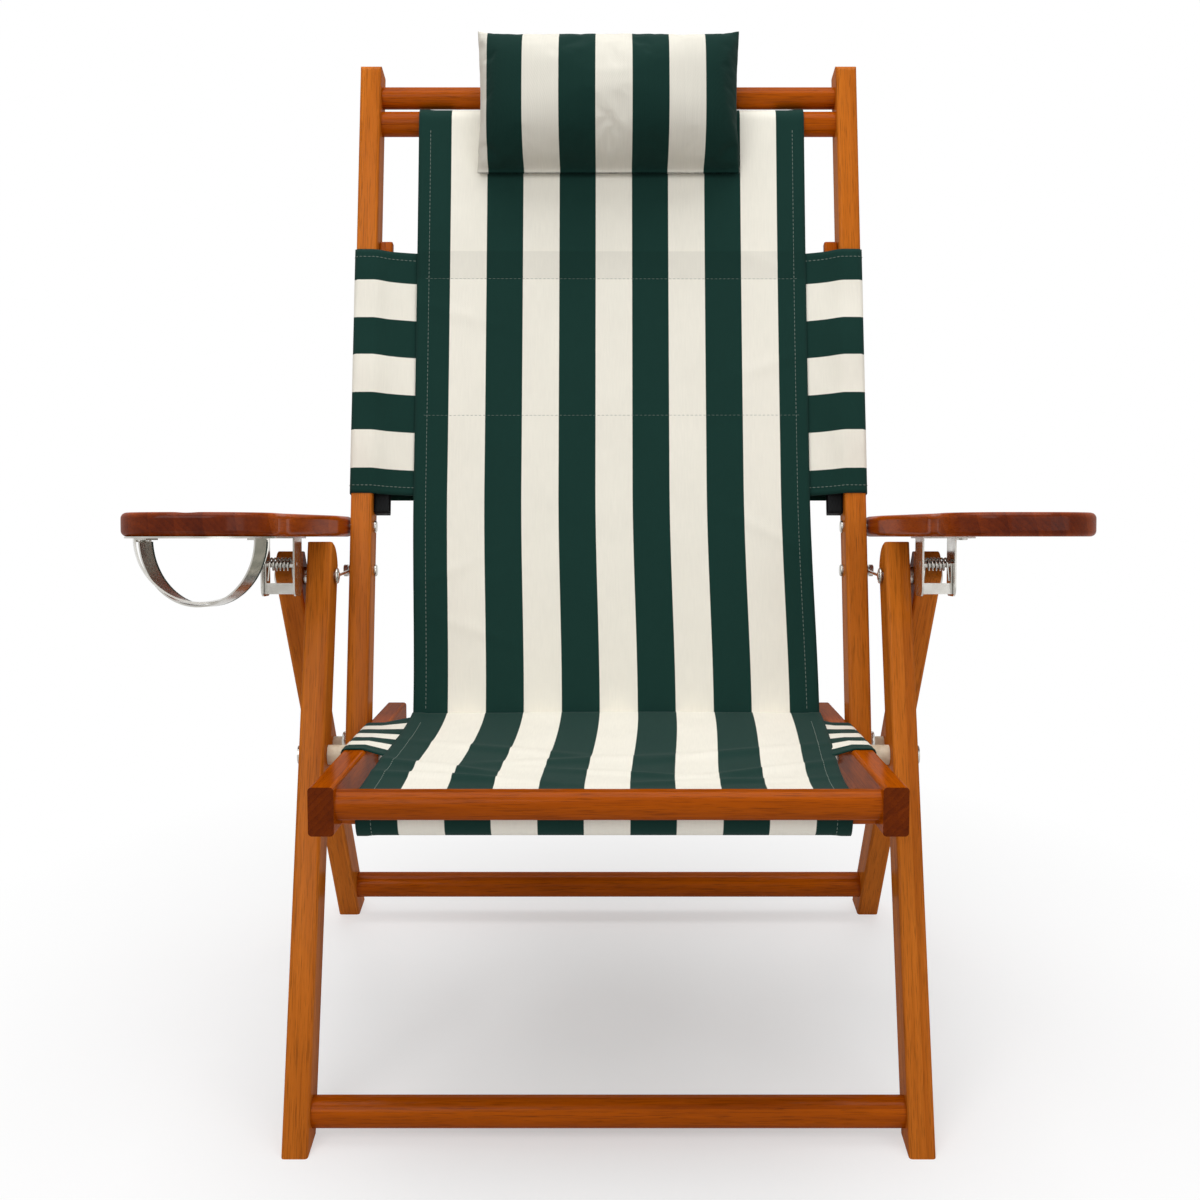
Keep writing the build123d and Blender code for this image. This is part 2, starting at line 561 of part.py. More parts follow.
# Release lever: two cheeks on the pin and a lip across the bottom
LEVER_IN = CATCH_INNER + PLATE_THICK + SEATED
LEVER_OUT = CATCH_OUTER - SEATED
pin_at = CATCH_FRONT - PIN_BACK
LEVER_LOW = CATCH_DEEP - LEVER_SHORT
cheek_shape = Rectangle(LEVER_CHEEK, LEVER_LOW - PIN_DOWN)
cheek_shape = Pos(pin_at, (PIN_DOWN + LEVER_LOW) / 2 + ARM_UNDER) * cheek_shape
cheek_shape += Pos(pin_at, PIN_DOWN + ARM_UNDER) * Circle(LEVER_CHEEK / 2)
cheek_shape -= Pos(pin_at, PIN_DOWN + ARM_UNDER) * Circle(PIN_DIA / 2 + FIT)
lever = extrude(ARM.plane(LEVER_IN) * cheek_shape, amount=LEVER_THICK)
lever += extrude(ARM.plane(LEVER_OUT - LEVER_THICK) * cheek_shape, amount=LEVER_THICK)
lip_front = pin_at + LEVER_CHEEK / 2
lever += arm_box(LEVER_IN, LEVER_OUT, lip_front - LEVER_THICK, lip_front, LEVER_LOW - LEVER_LIP, LEVER_LOW)
add_pair("release_lever", lever)

# Torsion spring on the pin: one wire, with a leg at each end
SPRING_QUARTERS = 4 * SPRING_TURNS + 2
SPRING_RISE = SPRING_PITCH / (math.pi * SPRING_MEAN)
SPRING_IN = LEVER_IN + LEVER_THICK + SEATED + SPRING_LEG * SPRING_RISE


def coil_point(quarter):
    """A point of the coil, and its tangent, a number of quarter turns from its start."""
    turn = math.pi + quarter * math.pi / 2
    forward, below = math.cos(turn) * SPRING_MEAN / 2, math.sin(turn) * SPRING_MEAN / 2
    y, z = ARM.at(pin_at + forward, ARM_UNDER + PIN_DOWN + below)
    x = SPRING_IN + SPRING_WIRE / 2 + SPRING_PITCH * quarter / 4
    flow = Run((0, 0), ARM.heading).at(-math.sin(turn), math.cos(turn))
    return Vector(x, y, z), Vector(SPRING_RISE, *flow).normalized()


def biarc(start, start_dir, end, end_dir):
    """Two arcs that leave a start and reach an end along the given directions, tangent where they meet."""
    chord = end - start
    both = start_dir + end_dir
    a = 2 * (1 - start_dir.dot(end_dir))
    b = chord.dot(both)
    reach = (-b + math.sqrt(b * b + a * chord.dot(chord))) / a
    joint = (start + end + (start_dir - end_dir) * reach) * 0.5
    first = TangentArc(start, joint, tangent=start_dir)
    return [first, TangentArc(joint, end, tangent=first % 1)]


coil = [coil_point(quarter) for quarter in range(SPRING_QUARTERS + 1)]
spring_path = [Line(coil[0][0] - coil[0][1] * SPRING_LEG, coil[0][0])]
for (start, start_dir), (end, end_dir) in zip(coil, coil[1:]):
    spring_path += biarc(start, start_dir, end, end_dir)
spring_path.append(Line(coil[-1][0], coil[-1][0] + coil[-1][1] * SPRING_LEG))
spring_wire = Wire(spring_path)
spring_face = Plane(origin=spring_wire @ 0, z_dir=spring_wire % 0) * Circle(SPRING_WIRE / 2)
add_pair("catch_spring", sweep(spring_face, path=spring_wire))
samples = [coil_point(step / 4)[0] for step in range(4 * SPRING_QUARTERS + 1)]
spring_gap = min(
    (samples[i] - samples[j]).length - SPRING_WIRE
    for i in range(len(samples))
    for j in range(i + 8, len(samples))
)
print("least gap between spring turns", round(spring_gap, 2), "mm")


# Canvas: a sleeve round a dowel at each end of a sagging panel
def sleeve(centre, radius):
    """The section of a hem that goes round a dowel."""
    return Pos(*centre) * (Circle(radius + CLEAR + CANVAS) - Circle(radius + CLEAR))


def panel(start, end, sag):
    """The section of a canvas panel that sags between two points."""
    middle = ((start[0] + end[0]) / 2, (start[1] + end[1]) / 2 - sag)

    def lifted(point):
        return (point[0], point[1] + CANVAS)

    edges = ThreePointArc(start, middle, end) + Line(end, lifted(end))
    edges += ThreePointArc(lifted(end), lifted(middle), lifted(start)) + Line(lifted(start), start)
    return make_face(edges)


def local(run, point):
    """A side-view point as a distance along a run and to its left."""
    dy, dz = point[0] - run.base[0], point[1] - run.base[1]
    return (dy * run.dir[0] + dz * run.dir[1], dz * run.dir[0] - dy * run.dir[1])


hinge_at = local(BACK, HINGE)
back_low = (hinge_at[0], hinge_at[1] + HINGE_DIA / 2 + CLEAR)
back_high = (SLING_AT, SLING_DIA / 2 + CLEAR)
back_shape = panel(back_low, back_high, SLING_SAG) + sleeve((SLING_AT, 0), SLING_DIA / 2)
back_shape += sleeve(hinge_at, HINGE_DIA / 2)
add("back_sling", extrude(BACK.plane(-SLING_HALF) * back_shape, amount=2 * SLING_HALF))

seam = BACK.at(SEAM_RISE, back_low[1] + CANVAS + SEATED)
seat_dowel_at = local(SEAT, SLING_DOWEL)
seat_front = (seat_dowel_at[0], seat_dowel_at[1] + SEAT_DIA / 2 + CLEAR)
seat_shape = panel(seat_front, local(SEAT, seam), SEAT_SAG) + sleeve(seat_dowel_at, SEAT_DIA / 2)
add("seat_sling", extrude(SEAT.plane(-SLING_HALF) * seat_shape, amount=2 * SLING_HALF))

# Rear pocket: a sleeve round both uprights, open in front between them
POCKET_LONG = POCKET_TO - POCKET_FROM
WRAP_OUT = UPRIGHT_OUTER + SEATED
WRAP_HALF = UPRIGHT_DEPTH / 2 + SEATED
FLAP_IN = SLING_HALF + WRAP_TUCK
hoop_out = RectangleRounded(2 * (WRAP_OUT + CANVAS), 2 * (WRAP_HALF + CANVAS), POCKET_ROUND + CANVAS)
hoop_in = RectangleRounded(2 * WRAP_OUT, 2 * WRAP_HALF, POCKET_ROUND)
pocket_shape = hoop_out - hoop_in - Pos(0, -WRAP_HALF) * Rectangle(2 * FLAP_IN, WRAP_HALF)


def back_plane(along):
    """A plane square to the uprights, with local Y to the rear."""
    return Plane(origin=(0, *BACK.at(along)), x_dir=(1, 0, 0), z_dir=(0, *BACK.dir))


add("back_pocket", extrude(back_plane(POCKET_FROM) * pocket_shape, amount=POCKET_LONG))
batten = RectangleRounded(BATTEN_WIDE, BATTEN_DEEP, BATTEN_EASE)
batten = Pos(UPRIGHT_INNER - SEATED - BATTEN_WIDE / 2, 0) * batten
batten_long = POCKET_LONG + 2 * BATTEN_PROUD
add_pair("pocket_batten", extrude(back_plane(POCKET_FROM - BATTEN_PROUD) * batten, amount=batten_long))
tab_shape = Pos(UPRIGHT_INNER - TAB_INSET, -WRAP_HALF - CANVAS / 2) * Rectangle(TAB_WIDE, CANVAS)
tab = extrude(back_plane(POCKET_FROM - TAB_TALL) * tab_shape, amount=TAB_TALL)
add("strap_tabs", tab + mirror(tab, about=Plane.YZ))

# Canvas wraps that tie the seat sling to the seat rails
wrap_in = SLING_HALF + WRAP_TUCK
wrap_low = RAIL_DEPTH / 2 + SEATED
wrap_long = SEAT_WRAP_TO - SEAT_WRAP_FROM
wrap_shape = Pos((SEAT_WRAP_FROM + SEAT_WRAP_TO) / 2, wrap_low + CANVAS / 2) * Rectangle(wrap_long, CANVAS)
wrap = extrude(SEAT.plane(wrap_in) * wrap_shape, amount=RAIL_OUTER - wrap_in)
lip_to = -SPACER_DIA
lip_shape = Pos((SEAT_WRAP_FROM + lip_to) / 2, wrap_low + CANVAS - SEAT_WRAP_LIP / 2)
lip_shape = lip_shape * Rectangle(lip_to - SEAT_WRAP_FROM, SEAT_WRAP_LIP)
wrap += extrude(SEAT.plane(RAIL_OUTER) * lip_shape, amount=CANVAS)
add_pair("seat_wrap", wrap)

# Pillow: a crowned cushion whose edges draw in between its corners
PILLOW_BACK = SLING_DIA / 2 + CLEAR + CANVAS + SEATED


def pillow_section(x, tall, thick):
    """A lens across the pillow: a nearly flat back and a crowned front."""
    half = tall / 2
    seam_off = PILLOW_BACK + PILLOW_BELLY
    low, high = (PILLOW_AT - half, seam_off), (PILLOW_AT + half, seam_off)
    edges = ThreePointArc(low, (PILLOW_AT, PILLOW_BACK), high)
    edges += ThreePointArc(high, (PILLOW_AT, PILLOW_BACK + thick), low)
    return BACK.plane(x) * make_face(edges)


half_wide = PILLOW_WIDE / 2
waist = PILLOW_TALL - PILLOW_DRAW
sections = [
    pillow_section(-half_wide, PILLOW_TALL, PILLOW_BELLY + PILLOW_EDGE),
    pillow_section(-half_wide * PILLOW_SHOULDER, waist, PILLOW_THICK * PILLOW_FALL),
    pillow_section(0, waist - PILLOW_DRAW / 2, PILLOW_THICK),
    pillow_section(half_wide * PILLOW_SHOULDER, waist, PILLOW_THICK * PILLOW_FALL),
    pillow_section(half_wide, PILLOW_TALL, PILLOW_BELLY + PILLOW_EDGE),
]
add("pillow", loft(sections))
strap_shape = Pos(TOP_AT, 0) * (Circle(TOP_DIA / 2 + CLEAR + CANVAS) - Circle(TOP_DIA / 2 + CLEAR))
tongue = PILLOW_BACK - SEATED - TOP_DIA / 2 - CLEAR
strap_shape += Pos(TOP_AT, TOP_DIA / 2 + CLEAR + tongue / 2) * Rectangle(STRAP_WIDE / 3, tongue)
straps = Part()
for side in (-1, 1):
    middle = side * STRAP_APART / 2
    straps += extrude(BACK.plane(middle - STRAP_WIDE / 2) * strap_shape, amount=STRAP_WIDE)
add("pillow_straps", straps)

# The origin is on the floor, under the middle of the whole chair
boxes = [shape.bounding_box() for shape in nodes.values()]
LENGTH = (min(box.min.Y for box in boxes), max(box.max.Y for box in boxes))
ORIGIN_Y = sum(LENGTH) / 2
os.makedirs("parts", exist_ok=True)
for name, shape in nodes.items():
    export_step(Pos(0, -ORIGIN_Y, 0) * shape, "parts/" + name + ".step")

for name, point in {"apex": APEX, "seat": SEAT_PIVOT, "hinge": HINGE, "arm": ARM_BOLT, "pin": PIN}.items():
    print(name, "axis at y", round(point[0] - ORIGIN_Y, 3), "z", round(point[1], 3))
print("length", round(LENGTH[1] - LENGTH[0], 1), "height", round(max(box.max.Z for box in boxes), 1))
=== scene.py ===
# %% [markdown]
# A folding beach chair: a stained hardwood frame, a striped canvas sling, a pillow over the top rail
# and a strap cup basket under one armrest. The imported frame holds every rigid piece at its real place,
# so this lesson only gives them their finish, and makes the canvas, the pillow and the webbing as cloth.

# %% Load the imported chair
import json
import math

import bpy
import numpy as np
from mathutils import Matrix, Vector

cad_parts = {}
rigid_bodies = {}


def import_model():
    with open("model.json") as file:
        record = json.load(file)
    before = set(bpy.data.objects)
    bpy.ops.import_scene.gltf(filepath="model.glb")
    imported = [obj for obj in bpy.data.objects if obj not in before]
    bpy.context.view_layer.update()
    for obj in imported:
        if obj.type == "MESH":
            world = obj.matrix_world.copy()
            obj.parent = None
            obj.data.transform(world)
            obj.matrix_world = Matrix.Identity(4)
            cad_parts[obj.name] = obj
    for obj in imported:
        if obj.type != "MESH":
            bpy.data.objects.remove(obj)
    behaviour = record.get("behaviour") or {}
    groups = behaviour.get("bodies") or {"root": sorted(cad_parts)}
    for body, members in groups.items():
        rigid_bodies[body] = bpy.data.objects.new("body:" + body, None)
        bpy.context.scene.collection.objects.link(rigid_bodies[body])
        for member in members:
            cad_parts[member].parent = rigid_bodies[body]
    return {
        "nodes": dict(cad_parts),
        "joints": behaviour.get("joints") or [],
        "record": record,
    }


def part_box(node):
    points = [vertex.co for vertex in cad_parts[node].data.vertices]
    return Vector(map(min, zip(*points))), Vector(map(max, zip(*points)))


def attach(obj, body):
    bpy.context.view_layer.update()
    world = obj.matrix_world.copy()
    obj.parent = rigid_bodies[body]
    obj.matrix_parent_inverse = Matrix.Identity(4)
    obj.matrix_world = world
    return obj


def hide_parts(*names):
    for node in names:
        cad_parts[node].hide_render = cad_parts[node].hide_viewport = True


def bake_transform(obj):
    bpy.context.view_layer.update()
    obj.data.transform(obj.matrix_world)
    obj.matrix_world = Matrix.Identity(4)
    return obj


for spare in list(bpy.data.objects):
    bpy.data.objects.remove(spare)
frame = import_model()
scene = bpy.context.scene
nodes = frame["nodes"]
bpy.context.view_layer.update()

# %% [markdown]
# The chair is flat in its side view: legs, seat and back are straight lines that lean. Cloth is easiest
# to place along such a line, so a point is given by how far across, how far along and how far off it lies.
# The joints say where the lines start, and the leans of back and armrests are numbers of our own.

# %% Leaning lines of the side view
MM = 0.001
BACK_LEAN = math.radians(22.3)
ARM_TILT = math.radians(12)
HINGE_INSET = 2.2 * MM
joint_at = {joint["name"]: np.array(joint["pos_m"][1:]) for joint in frame["joints"]}


def leaning_line(base, way):
    """A line in the side view: its base, its unit direction, and the unit direction to its left."""
    way = np.array(way) / np.hypot(*way)
    return np.array(base), way, np.array([-way[1], way[0]])


def on_line(line, across, along, off):
    """Points of the chair: x is across, and (y, z) is base + along * direction + off * left."""
    base, way, left = line
    y = base[0] + along * way[0] + off * left[0]
    z = base[1] + along * way[1] + off * left[1]
    return np.stack(np.broadcast_arrays(across, y, z), axis=-1)


def off_line(line, point):
    """A side-view point as its distance along a line and off to its left."""
    return np.array([(point - line[0]) @ line[1], (point - line[0]) @ line[2]])


def dowel_of(node, line):
    """The middle of a dowel on a line, and its radius, from the box of its node."""
    low, high = (np.array(corner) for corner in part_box(node))
    return off_line(line, (low[1:] + high[1:]) / 2), (high[2] - low[2]) / 2


HINGE = joint_at["back_fold"]
SEAT = leaning_line(joint_at["recline_fold"], HINGE - joint_at["recline_fold"])
BACK = leaning_line(HINGE, (math.sin(BACK_LEAN), math.cos(BACK_LEAN)))
BACK = leaning_line(HINGE - HINGE_INSET * BACK[2], BACK[1])
ARM = leaning_line(joint_at["arm_left_lift"], (-math.cos(ARM_TILT), math.sin(ARM_TILT)))
print("seat heading", np.degrees(np.arctan2(SEAT[1][1], SEAT[1][0])).round(2))

# %% [markdown]
# A node tree is easier to read when each node is one call: its kind, its settings, and for each socket
# either a number or the socket it is fed from.

# %% Helpers for nodes
def feed(tree, socket, source):
    """Give a socket a plain value, or link it to the socket that it is fed from."""
    if isinstance(source, bpy.types.NodeSocket):
        tree.links.new(source, socket)
    else:
        socket.default_value = source


def put(tree, kind, feeds=None, **settings):
    """A new node: settings are its own choices, and feeds gives each input a number or a source socket."""
    made = tree.nodes.new("ShaderNode" + kind)
    for name, value in settings.items():
        setattr(made, name, value)
    for socket, source in (feeds or {}).items():
        feed(tree, made.inputs[socket], source)
    return made


def sums(tree, operation, *values):
    """A maths node of one to three values, and its result."""
    return put(tree, "Math", dict(enumerate(values)), operation=operation).outputs[0]


def spread(tree, value, low, high, to_low=0.0, to_high=1.0):
    """A value carried from one range to another and kept inside it."""
    feeds = {"Value": value, "From Min": low, "From Max": high, "To Min": to_low, "To Max": to_high}
    return put(tree, "MapRange", feeds).outputs[0]


def stretched(tree, place, stretch):
    """A place times a stretch for each direction."""
    return put(tree, "VectorMath", {0: place, 1: stretch}, operation="MULTIPLY").outputs[0]


def mixed(tree, share, first, second, blend="MIX"):
    """Two colours mixed by a share. The colour sockets of a Mix node are its inputs 6 and 7, and output 2."""
    feeds = {0: share, 6: first, 7: second}
    return put(tree, "Mix", feeds, data_type="RGBA", blend_type=blend).outputs[2]


def grey(tree, value):
    """A value as a grey colour."""
    return put(tree, "CombineColor", {0: value, 1: value, 2: value}).outputs[0]


# %% [markdown]
# An effect that several finishes share is a group with named sockets, built once. The shader itself stays
# in each material, where plain values are set on its own sockets.

# %% Helpers for groups and materials
def new_group(name, inputs, outputs):
    """An empty shader group with named sockets of a kind, and the sockets to read from and to feed."""
    tree = bpy.data.node_groups.new(name, "ShaderNodeTree")
    for way, sockets in (("INPUT", inputs), ("OUTPUT", outputs)):
        for socket, kind in sockets.items():
            tree.interface.new_socket(socket, in_out=way, socket_type="NodeSocket" + kind)
    return tree, tree.nodes.new("NodeGroupInput").outputs, tree.nodes.new("NodeGroupOutput").inputs


def use_group(tree, group, feeds):
    """A group placed in a tree, with its inputs fed, and what it puts out."""
    return put(tree, "Group", feeds, node_tree=group).outputs


def new_material(name, **shader_values):
    """A material, its tree and its Principled shader, with plain shader values set by socket name."""
    material = bpy.data.materials.new(name)
    material.use_nodes = True
    tree = material.node_tree
    shader = tree.nodes["Principled BSDF"]
    for socket, value in shader_values.items():
        shader.inputs[socket.replace("_", " ")].default_value = value
    return material, tree, shader


def srgb(red, green, blue):
    """A colour as seen on screen, 0 to 255, as the linear colour that shaders use."""
    seen = np.array([red, green, blue]) / 255
    linear = np.where(seen < 0.04045, seen / 12.92, ((seen + 0.055) / 1.055) ** 2.4)
    return (*linear.tolist(), 1.0)


def finished(tree, shader, colour, rough, height, deep, strength):
    """Feed a shader its colour and roughness, and a height as a bump of a real depth."""
    bump = put(tree, "Bump", {"Height": height, "Distance": deep, "Strength": strength})
    for socket, source in (("Base Color", colour), ("Roughness", rough), ("Normal", bump.outputs[0])):
        feed(tree, shader.inputs[socket], source)


# %% [markdown]
# The timber is a hardwood with a honey to red-brown stain under satin varnish. Photographed boards would
# need images, and a flat brown would look like plastic. Solid noise stretched along the grain gives
# streaks on the long faces from one recipe, whatever way a piece lies, and bands give the years on the ends.

# %% Stained grain
GRAIN_INPUTS = {"Place": "Vector", "Light": "Color", "Dark": "Color", "End": "Float"}
GRAIN_OUTPUTS = {"Colour": "Color", "Roughness": "Float", "Height": "Float"}
# Cells per metre, along the grain and across it
FIGURE, STREAK, PORE, RING = (2.5, 34, 34), (7, 190, 190), (36, 1500, 1500), (1.2, 26, 26)
FIGURE_SHARE, STREAK_SHARE, RING_SHARE = 0.85, 0.55, 0.22
TONE_RANGE = 0.5, 1.05
PORE_EDGE, PORE_DARK = (0.36, 0.46), 0.62
STREAK_RANGE, VARNISH_ROUGH = (0.3, 0.7), (0.26, 0.42)
YEARS_PER_METRE = 95.0
SAWN_PALE, SAWN_DARK = (0.4, 0.31, 0.285, 1), (0.31, 0.235, 0.215, 1)
grain, given, gives = new_group("stained_grain", GRAIN_INPUTS, GRAIN_OUTPUTS)


def streaks(tree, place, stretch, detail):
    """Noise whose cells are long along the grain: place times a stretch for each direction."""
    feeds = {"Vector": stretched(tree, place, stretch), "Scale": 1.0, "Detail": detail, "Roughness": 0.6}
    return put(tree, "TexNoise", {**feeds, "Distortion": 0.35}).outputs[0]


def waves(tree, feeds, **shape):
    """A saw-toothed wave of years, as a value."""
    return put(tree, "TexWave", feeds, wave_profile="SAW", **shape).outputs[1]


place = given["Place"]
figure, streak, pores = (streaks(grain, place, *size) for size in ((FIGURE, 3), (STREAK, 4), (PORE, 2)))
ring_feeds = {"Vector": stretched(grain, place, RING), "Scale": 0.55, "Distortion": 3.2}
ring_feeds.update({"Detail": 2.0, "Detail Scale": 0.8})
rings = waves(grain, ring_feeds, wave_type="RINGS", rings_direction="X")
tone = sums(grain, "MULTIPLY_ADD", figure, FIGURE_SHARE, sums(grain, "MULTIPLY", streak, STREAK_SHARE))
tone = sums(grain, "MULTIPLY_ADD", rings, RING_SHARE, tone)
stain = mixed(grain, spread(grain, tone, *TONE_RANGE), given["Dark"], given["Light"])
pore_mask = spread(grain, pores, *PORE_EDGE, PORE_DARK, 1.0)
stain = mixed(grain, 1.0, stain, grey(grain, pore_mask), "MULTIPLY")
year_feeds = {"Vector": place, "Scale": YEARS_PER_METRE, "Distortion": 2.0, "Detail": 1.0}
years = waves(grain, year_feeds, wave_type="BANDS", bands_direction="DIAGONAL")
sawn = mixed(grain, 1.0, stain, mixed(grain, years, SAWN_PALE, SAWN_DARK), "MULTIPLY")
feed(grain, gives["Colour"], mixed(grain, given["End"], stain, sawn))
feed(grain, gives["Roughness"], spread(grain, streak, *STREAK_RANGE, *VARNISH_ROUGH))
feed(grain, gives["Height"], sums(grain, "MULTIPLY_ADD", streak, 0.5, pore_mask))
print("grain nodes", len(grain.nodes))

# %% [markdown]
# Every board gets the grain along its own length and from its own place in the log, so no two look cut from
# one piece. A face that cuts the grain squarely is a sawn end and darker. The varnish is the shader's coat
# alone: a gloss on the wood beneath it as well would turn the sides of the rails white when seen edge on.

# %% Timber pieces
VARNISH_SMOOTH = 0.16
PORE_DEEP, PORE_STRENGTH = 0.2 * MM, 0.35
ACROSS_CHAIR = (1.0, 0.0, 0.0)


def timber(name, way, light, dark, ends, gloss, shift):
    """Varnished timber whose grain runs along a side-view direction, or across the chair for None.
    Ends says how squarely a face must cut the grain before it darkens, from where to where."""
    material, tree, shader = new_material(
        name, Coat_Weight=gloss, Coat_Roughness=VARNISH_SMOOTH, Specular_IOR_Level=0.0)
    place = put(tree, "TexCoord").outputs["Object"]
    axis = ACROSS_CHAIR
    if way is not None:
        axis = (0.0, float(way[0]), float(way[1]))
        turn = math.atan2(way[1], way[0])
        for rotation in ((-turn, 0, 0), (0, 0, -math.pi / 2)):
            place = put(tree, "Mapping", {"Vector": place, "Rotation": rotation}).outputs[0]
    place = put(tree, "VectorMath", {0: place, 1: shift}, operation="ADD").outputs[0]
    normal = put(tree, "NewGeometry").outputs["Normal"]
    facing = put(tree, "VectorMath", {0: normal, 1: axis}, operation="DOT_PRODUCT").outputs["Value"]
    end = spread(tree, sums(tree, "ABSOLUTE", facing), *ends)
    out = use_group(tree, grain, {"Place": place, "Light": light, "Dark": dark, "End": end})
    finished(tree, shader, out["Colour"], out["Roughness"], out["Height"], PORE_DEEP, PORE_STRENGTH)
    return material


def dress(node, material):
    """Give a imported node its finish."""
    nodes[node].data.materials.clear()
    nodes[node].data.materials.append(material)


# A stain is its light and dark streaks, its ends and its gloss
SAWN, ROUNDED = (0.86, 0.96), (0.1, 1.0)
HONEY = srgb(214, 121, 38), srgb(170, 86, 18), SAWN, 0.1
AMBER = srgb(186, 88, 4), srgb(138, 58, 1), SAWN, 0.12
RUSSET = srgb(178, 78, 10), srgb(126, 46, 3), ROUNDED, 0.24
FRONT_LEAN = math.radians(27.1)
REAR_FOOT_HALF = 21 * MM
LOG_STEP = 0.37, 0.083, 0.061
front_way = np.array([math.sin(FRONT_LEAN), math.cos(FRONT_LEAN)])
rear_way = joint_at["rear_leg_fold"] - np.array([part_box("rear_leg_left")[1][1] - REAR_FOOT_HALF, 0])
PAIRS = {
    "front_leg": (front_way, HONEY), "rear_leg": (rear_way, HONEY), "upright": (BACK[1], HONEY),
    "pocket_batten": (BACK[1], AMBER), "seat_rail": (SEAT[1], AMBER), "armrest": (ARM[1], RUSSET),
}
CROSSING = ("front_stretcher", "rear_stretcher", "top_dowel", "sling_dowel", "seat_front_dowel",
            "seat_sling_dowel", "hinge_dowel")
boards = [(node + hand, *cut) for node, cut in PAIRS.items() for hand in ("_left", "_right")]
boards += [(node, None, AMBER) for node in CROSSING]
for number, (node, way, stain) in enumerate(boards):
    shift = [number * step for step in LOG_STEP]
    dress(node, timber("timber_" + node, way, *stain, shift))
print("timber pieces", len(boards))

# %% [markdown]
# The fittings are zinc-plated steel, with faint cloudy marks where the plating is uneven, and the
# spacers and rest pegs are pale moulded nylon. Both are smooth shapes already, so a noise on roughness
# and colour is enough.

# %% Metal and nylon
CLOUD_INPUTS = {"Place": "Vector", "Fineness": "Float"}
SCRATCH = (2600, 160, 2600)
SCRATCH_DEEP = 0.05 * MM
clouds, given, gives = new_group("clouding", CLOUD_INPUTS, {"Cloud": "Float", "Scratch": "Float"})
cloud_feeds = {"Vector": given["Place"], "Scale": given["Fineness"], "Detail": 4.0}
scratch_feeds = {"Vector": stretched(clouds, given["Place"], SCRATCH), "Scale": 1.0}
feed(clouds, gives["Cloud"], put(clouds, "TexNoise", cloud_feeds).outputs[0])
feed(clouds, gives["Scratch"], put(clouds, "TexNoise", scratch_feeds).outputs[0])


def smooth_finish(name, colour, dull, rough, fineness, metallic, bump):
    """A smooth finish whose clouding dulls its colour and moves its roughness between two values."""
    material, tree, shader = new_material(name, Metallic=metallic)
    place = put(tree, "TexCoord").outputs["Object"]
    out = use_group(tree, clouds, {"Place": place, "Fineness": fineness})
    tint = mixed(tree, spread(tree, out["Cloud"], 0.35, 0.65), colour, dull)
    roughness = spread(tree, out["Cloud"], 0.3, 0.7, *rough)
    finished(tree, shader, tint, roughness, out["Scratch"], SCRATCH_DEEP, bump)
    return material


finishes = {
    "steel": smooth_finish("zinc_plate", srgb(198, 196, 190), srgb(180, 177, 170),
                           rough=(0.2, 0.3), fineness=60.0, metallic=1.0, bump=0.08),
    "nylon": smooth_finish("nylon", srgb(226, 214, 190), srgb(206, 190, 162),
                           rough=(0.42, 0.6), fineness=140.0, metallic=0.0, bump=0.1),
    # painted reflection: the dark green strip on the cup band's edge stands for the green canvas mirrored in
    # the steel
    "trim": smooth_finish("painted_reflection_strip", srgb(24, 52, 45), srgb(15, 36, 31),
                          rough=(0.35, 0.55), fineness=160.0, metallic=0.0, bump=0.1),
}
fittings = [(entry["node"], entry["material_slot"]) for entry in frame["record"]["subparts"]
            if entry["material_slot"] in finishes]
for node, slot in fittings:
    dress(node, finishes[slot])
print("metal and nylon pieces", len(fittings))

# %% [markdown]
# The canvas is a plain weave with stripes woven in. The weave is two crossed sines in the cloth's own
# coordinates, which are laid out in metres as its UV map, so threads keep their size on every piece.
# Stripes are the sign of a slow cosine, and a very steep ramp at its zero leaves their edges clean.

# %% Weave and stripes
SLUB, SLUB_TALL = (700, 60, 1), 0.4
MOTTLE_PER_METRE = 14.0
SHADE_BASE, SLUB_SHADE, MOTTLE_SHADE, CROSSING_PAINTED_SHADE = 0.865, 0.1, 0.12, 0.05
STRIPE_EDGE = 0.02
weave, given, gives = new_group(
    "plain_weave", {"Cloth": "Vector", "Thread": "Float"}, {"Height": "Float", "Shade": "Float"})
ways = put(weave, "SeparateXYZ", {0: given["Cloth"]}).outputs
thread_turn = sums(weave, "DIVIDE", math.pi, given["Thread"])
warp, weft = (sums(weave, "SINE", sums(weave, "MULTIPLY", ways[k], thread_turn)) for k in (0, 1))
crossing = sums(weave, "MULTIPLY_ADD", sums(weave, "MULTIPLY", warp, weft), 0.5, 0.5)
slub_feeds = {"Vector": stretched(weave, given["Cloth"], SLUB), "Scale": 1.0, "Detail": 2.0}
slub = put(weave, "TexNoise", slub_feeds).outputs[0]
mottle_feeds = {"Vector": given["Cloth"], "Scale": MOTTLE_PER_METRE, "Detail": 5.0}
mottle = put(weave, "TexNoise", mottle_feeds).outputs[0]
feed(weave, gives["Height"], sums(weave, "MULTIPLY_ADD", slub, SLUB_TALL, crossing))
shade = sums(weave, "MULTIPLY_ADD", slub, SLUB_SHADE, sums(weave, "MULTIPLY", mottle, MOTTLE_SHADE))
# painted shade: the cloth is drawn darker where the thread crossings sink and lighter where they rise
shade = sums(weave, "MULTIPLY_ADD", crossing, CROSSING_PAINTED_SHADE, shade)
feed(weave, gives["Shade"], sums(weave, "ADD", shade, SHADE_BASE))

STRIPE_INPUTS = {"Across": "Float", "Pitch": "Float", "Middle": "Float"}
stripe, given, gives = new_group("woven_stripe", STRIPE_INPUTS, {"Mask": "Float"})
turns = sums(stripe, "DIVIDE", sums(stripe, "SUBTRACT", given["Across"], given["Middle"]), given["Pitch"])
wave = sums(stripe, "COSINE", sums(stripe, "MULTIPLY", turns, math.pi))
feed(stripe, gives["Mask"], spread(stripe, wave, -STRIPE_EDGE, STRIPE_EDGE))
print("weave nodes", len(weave.nodes))

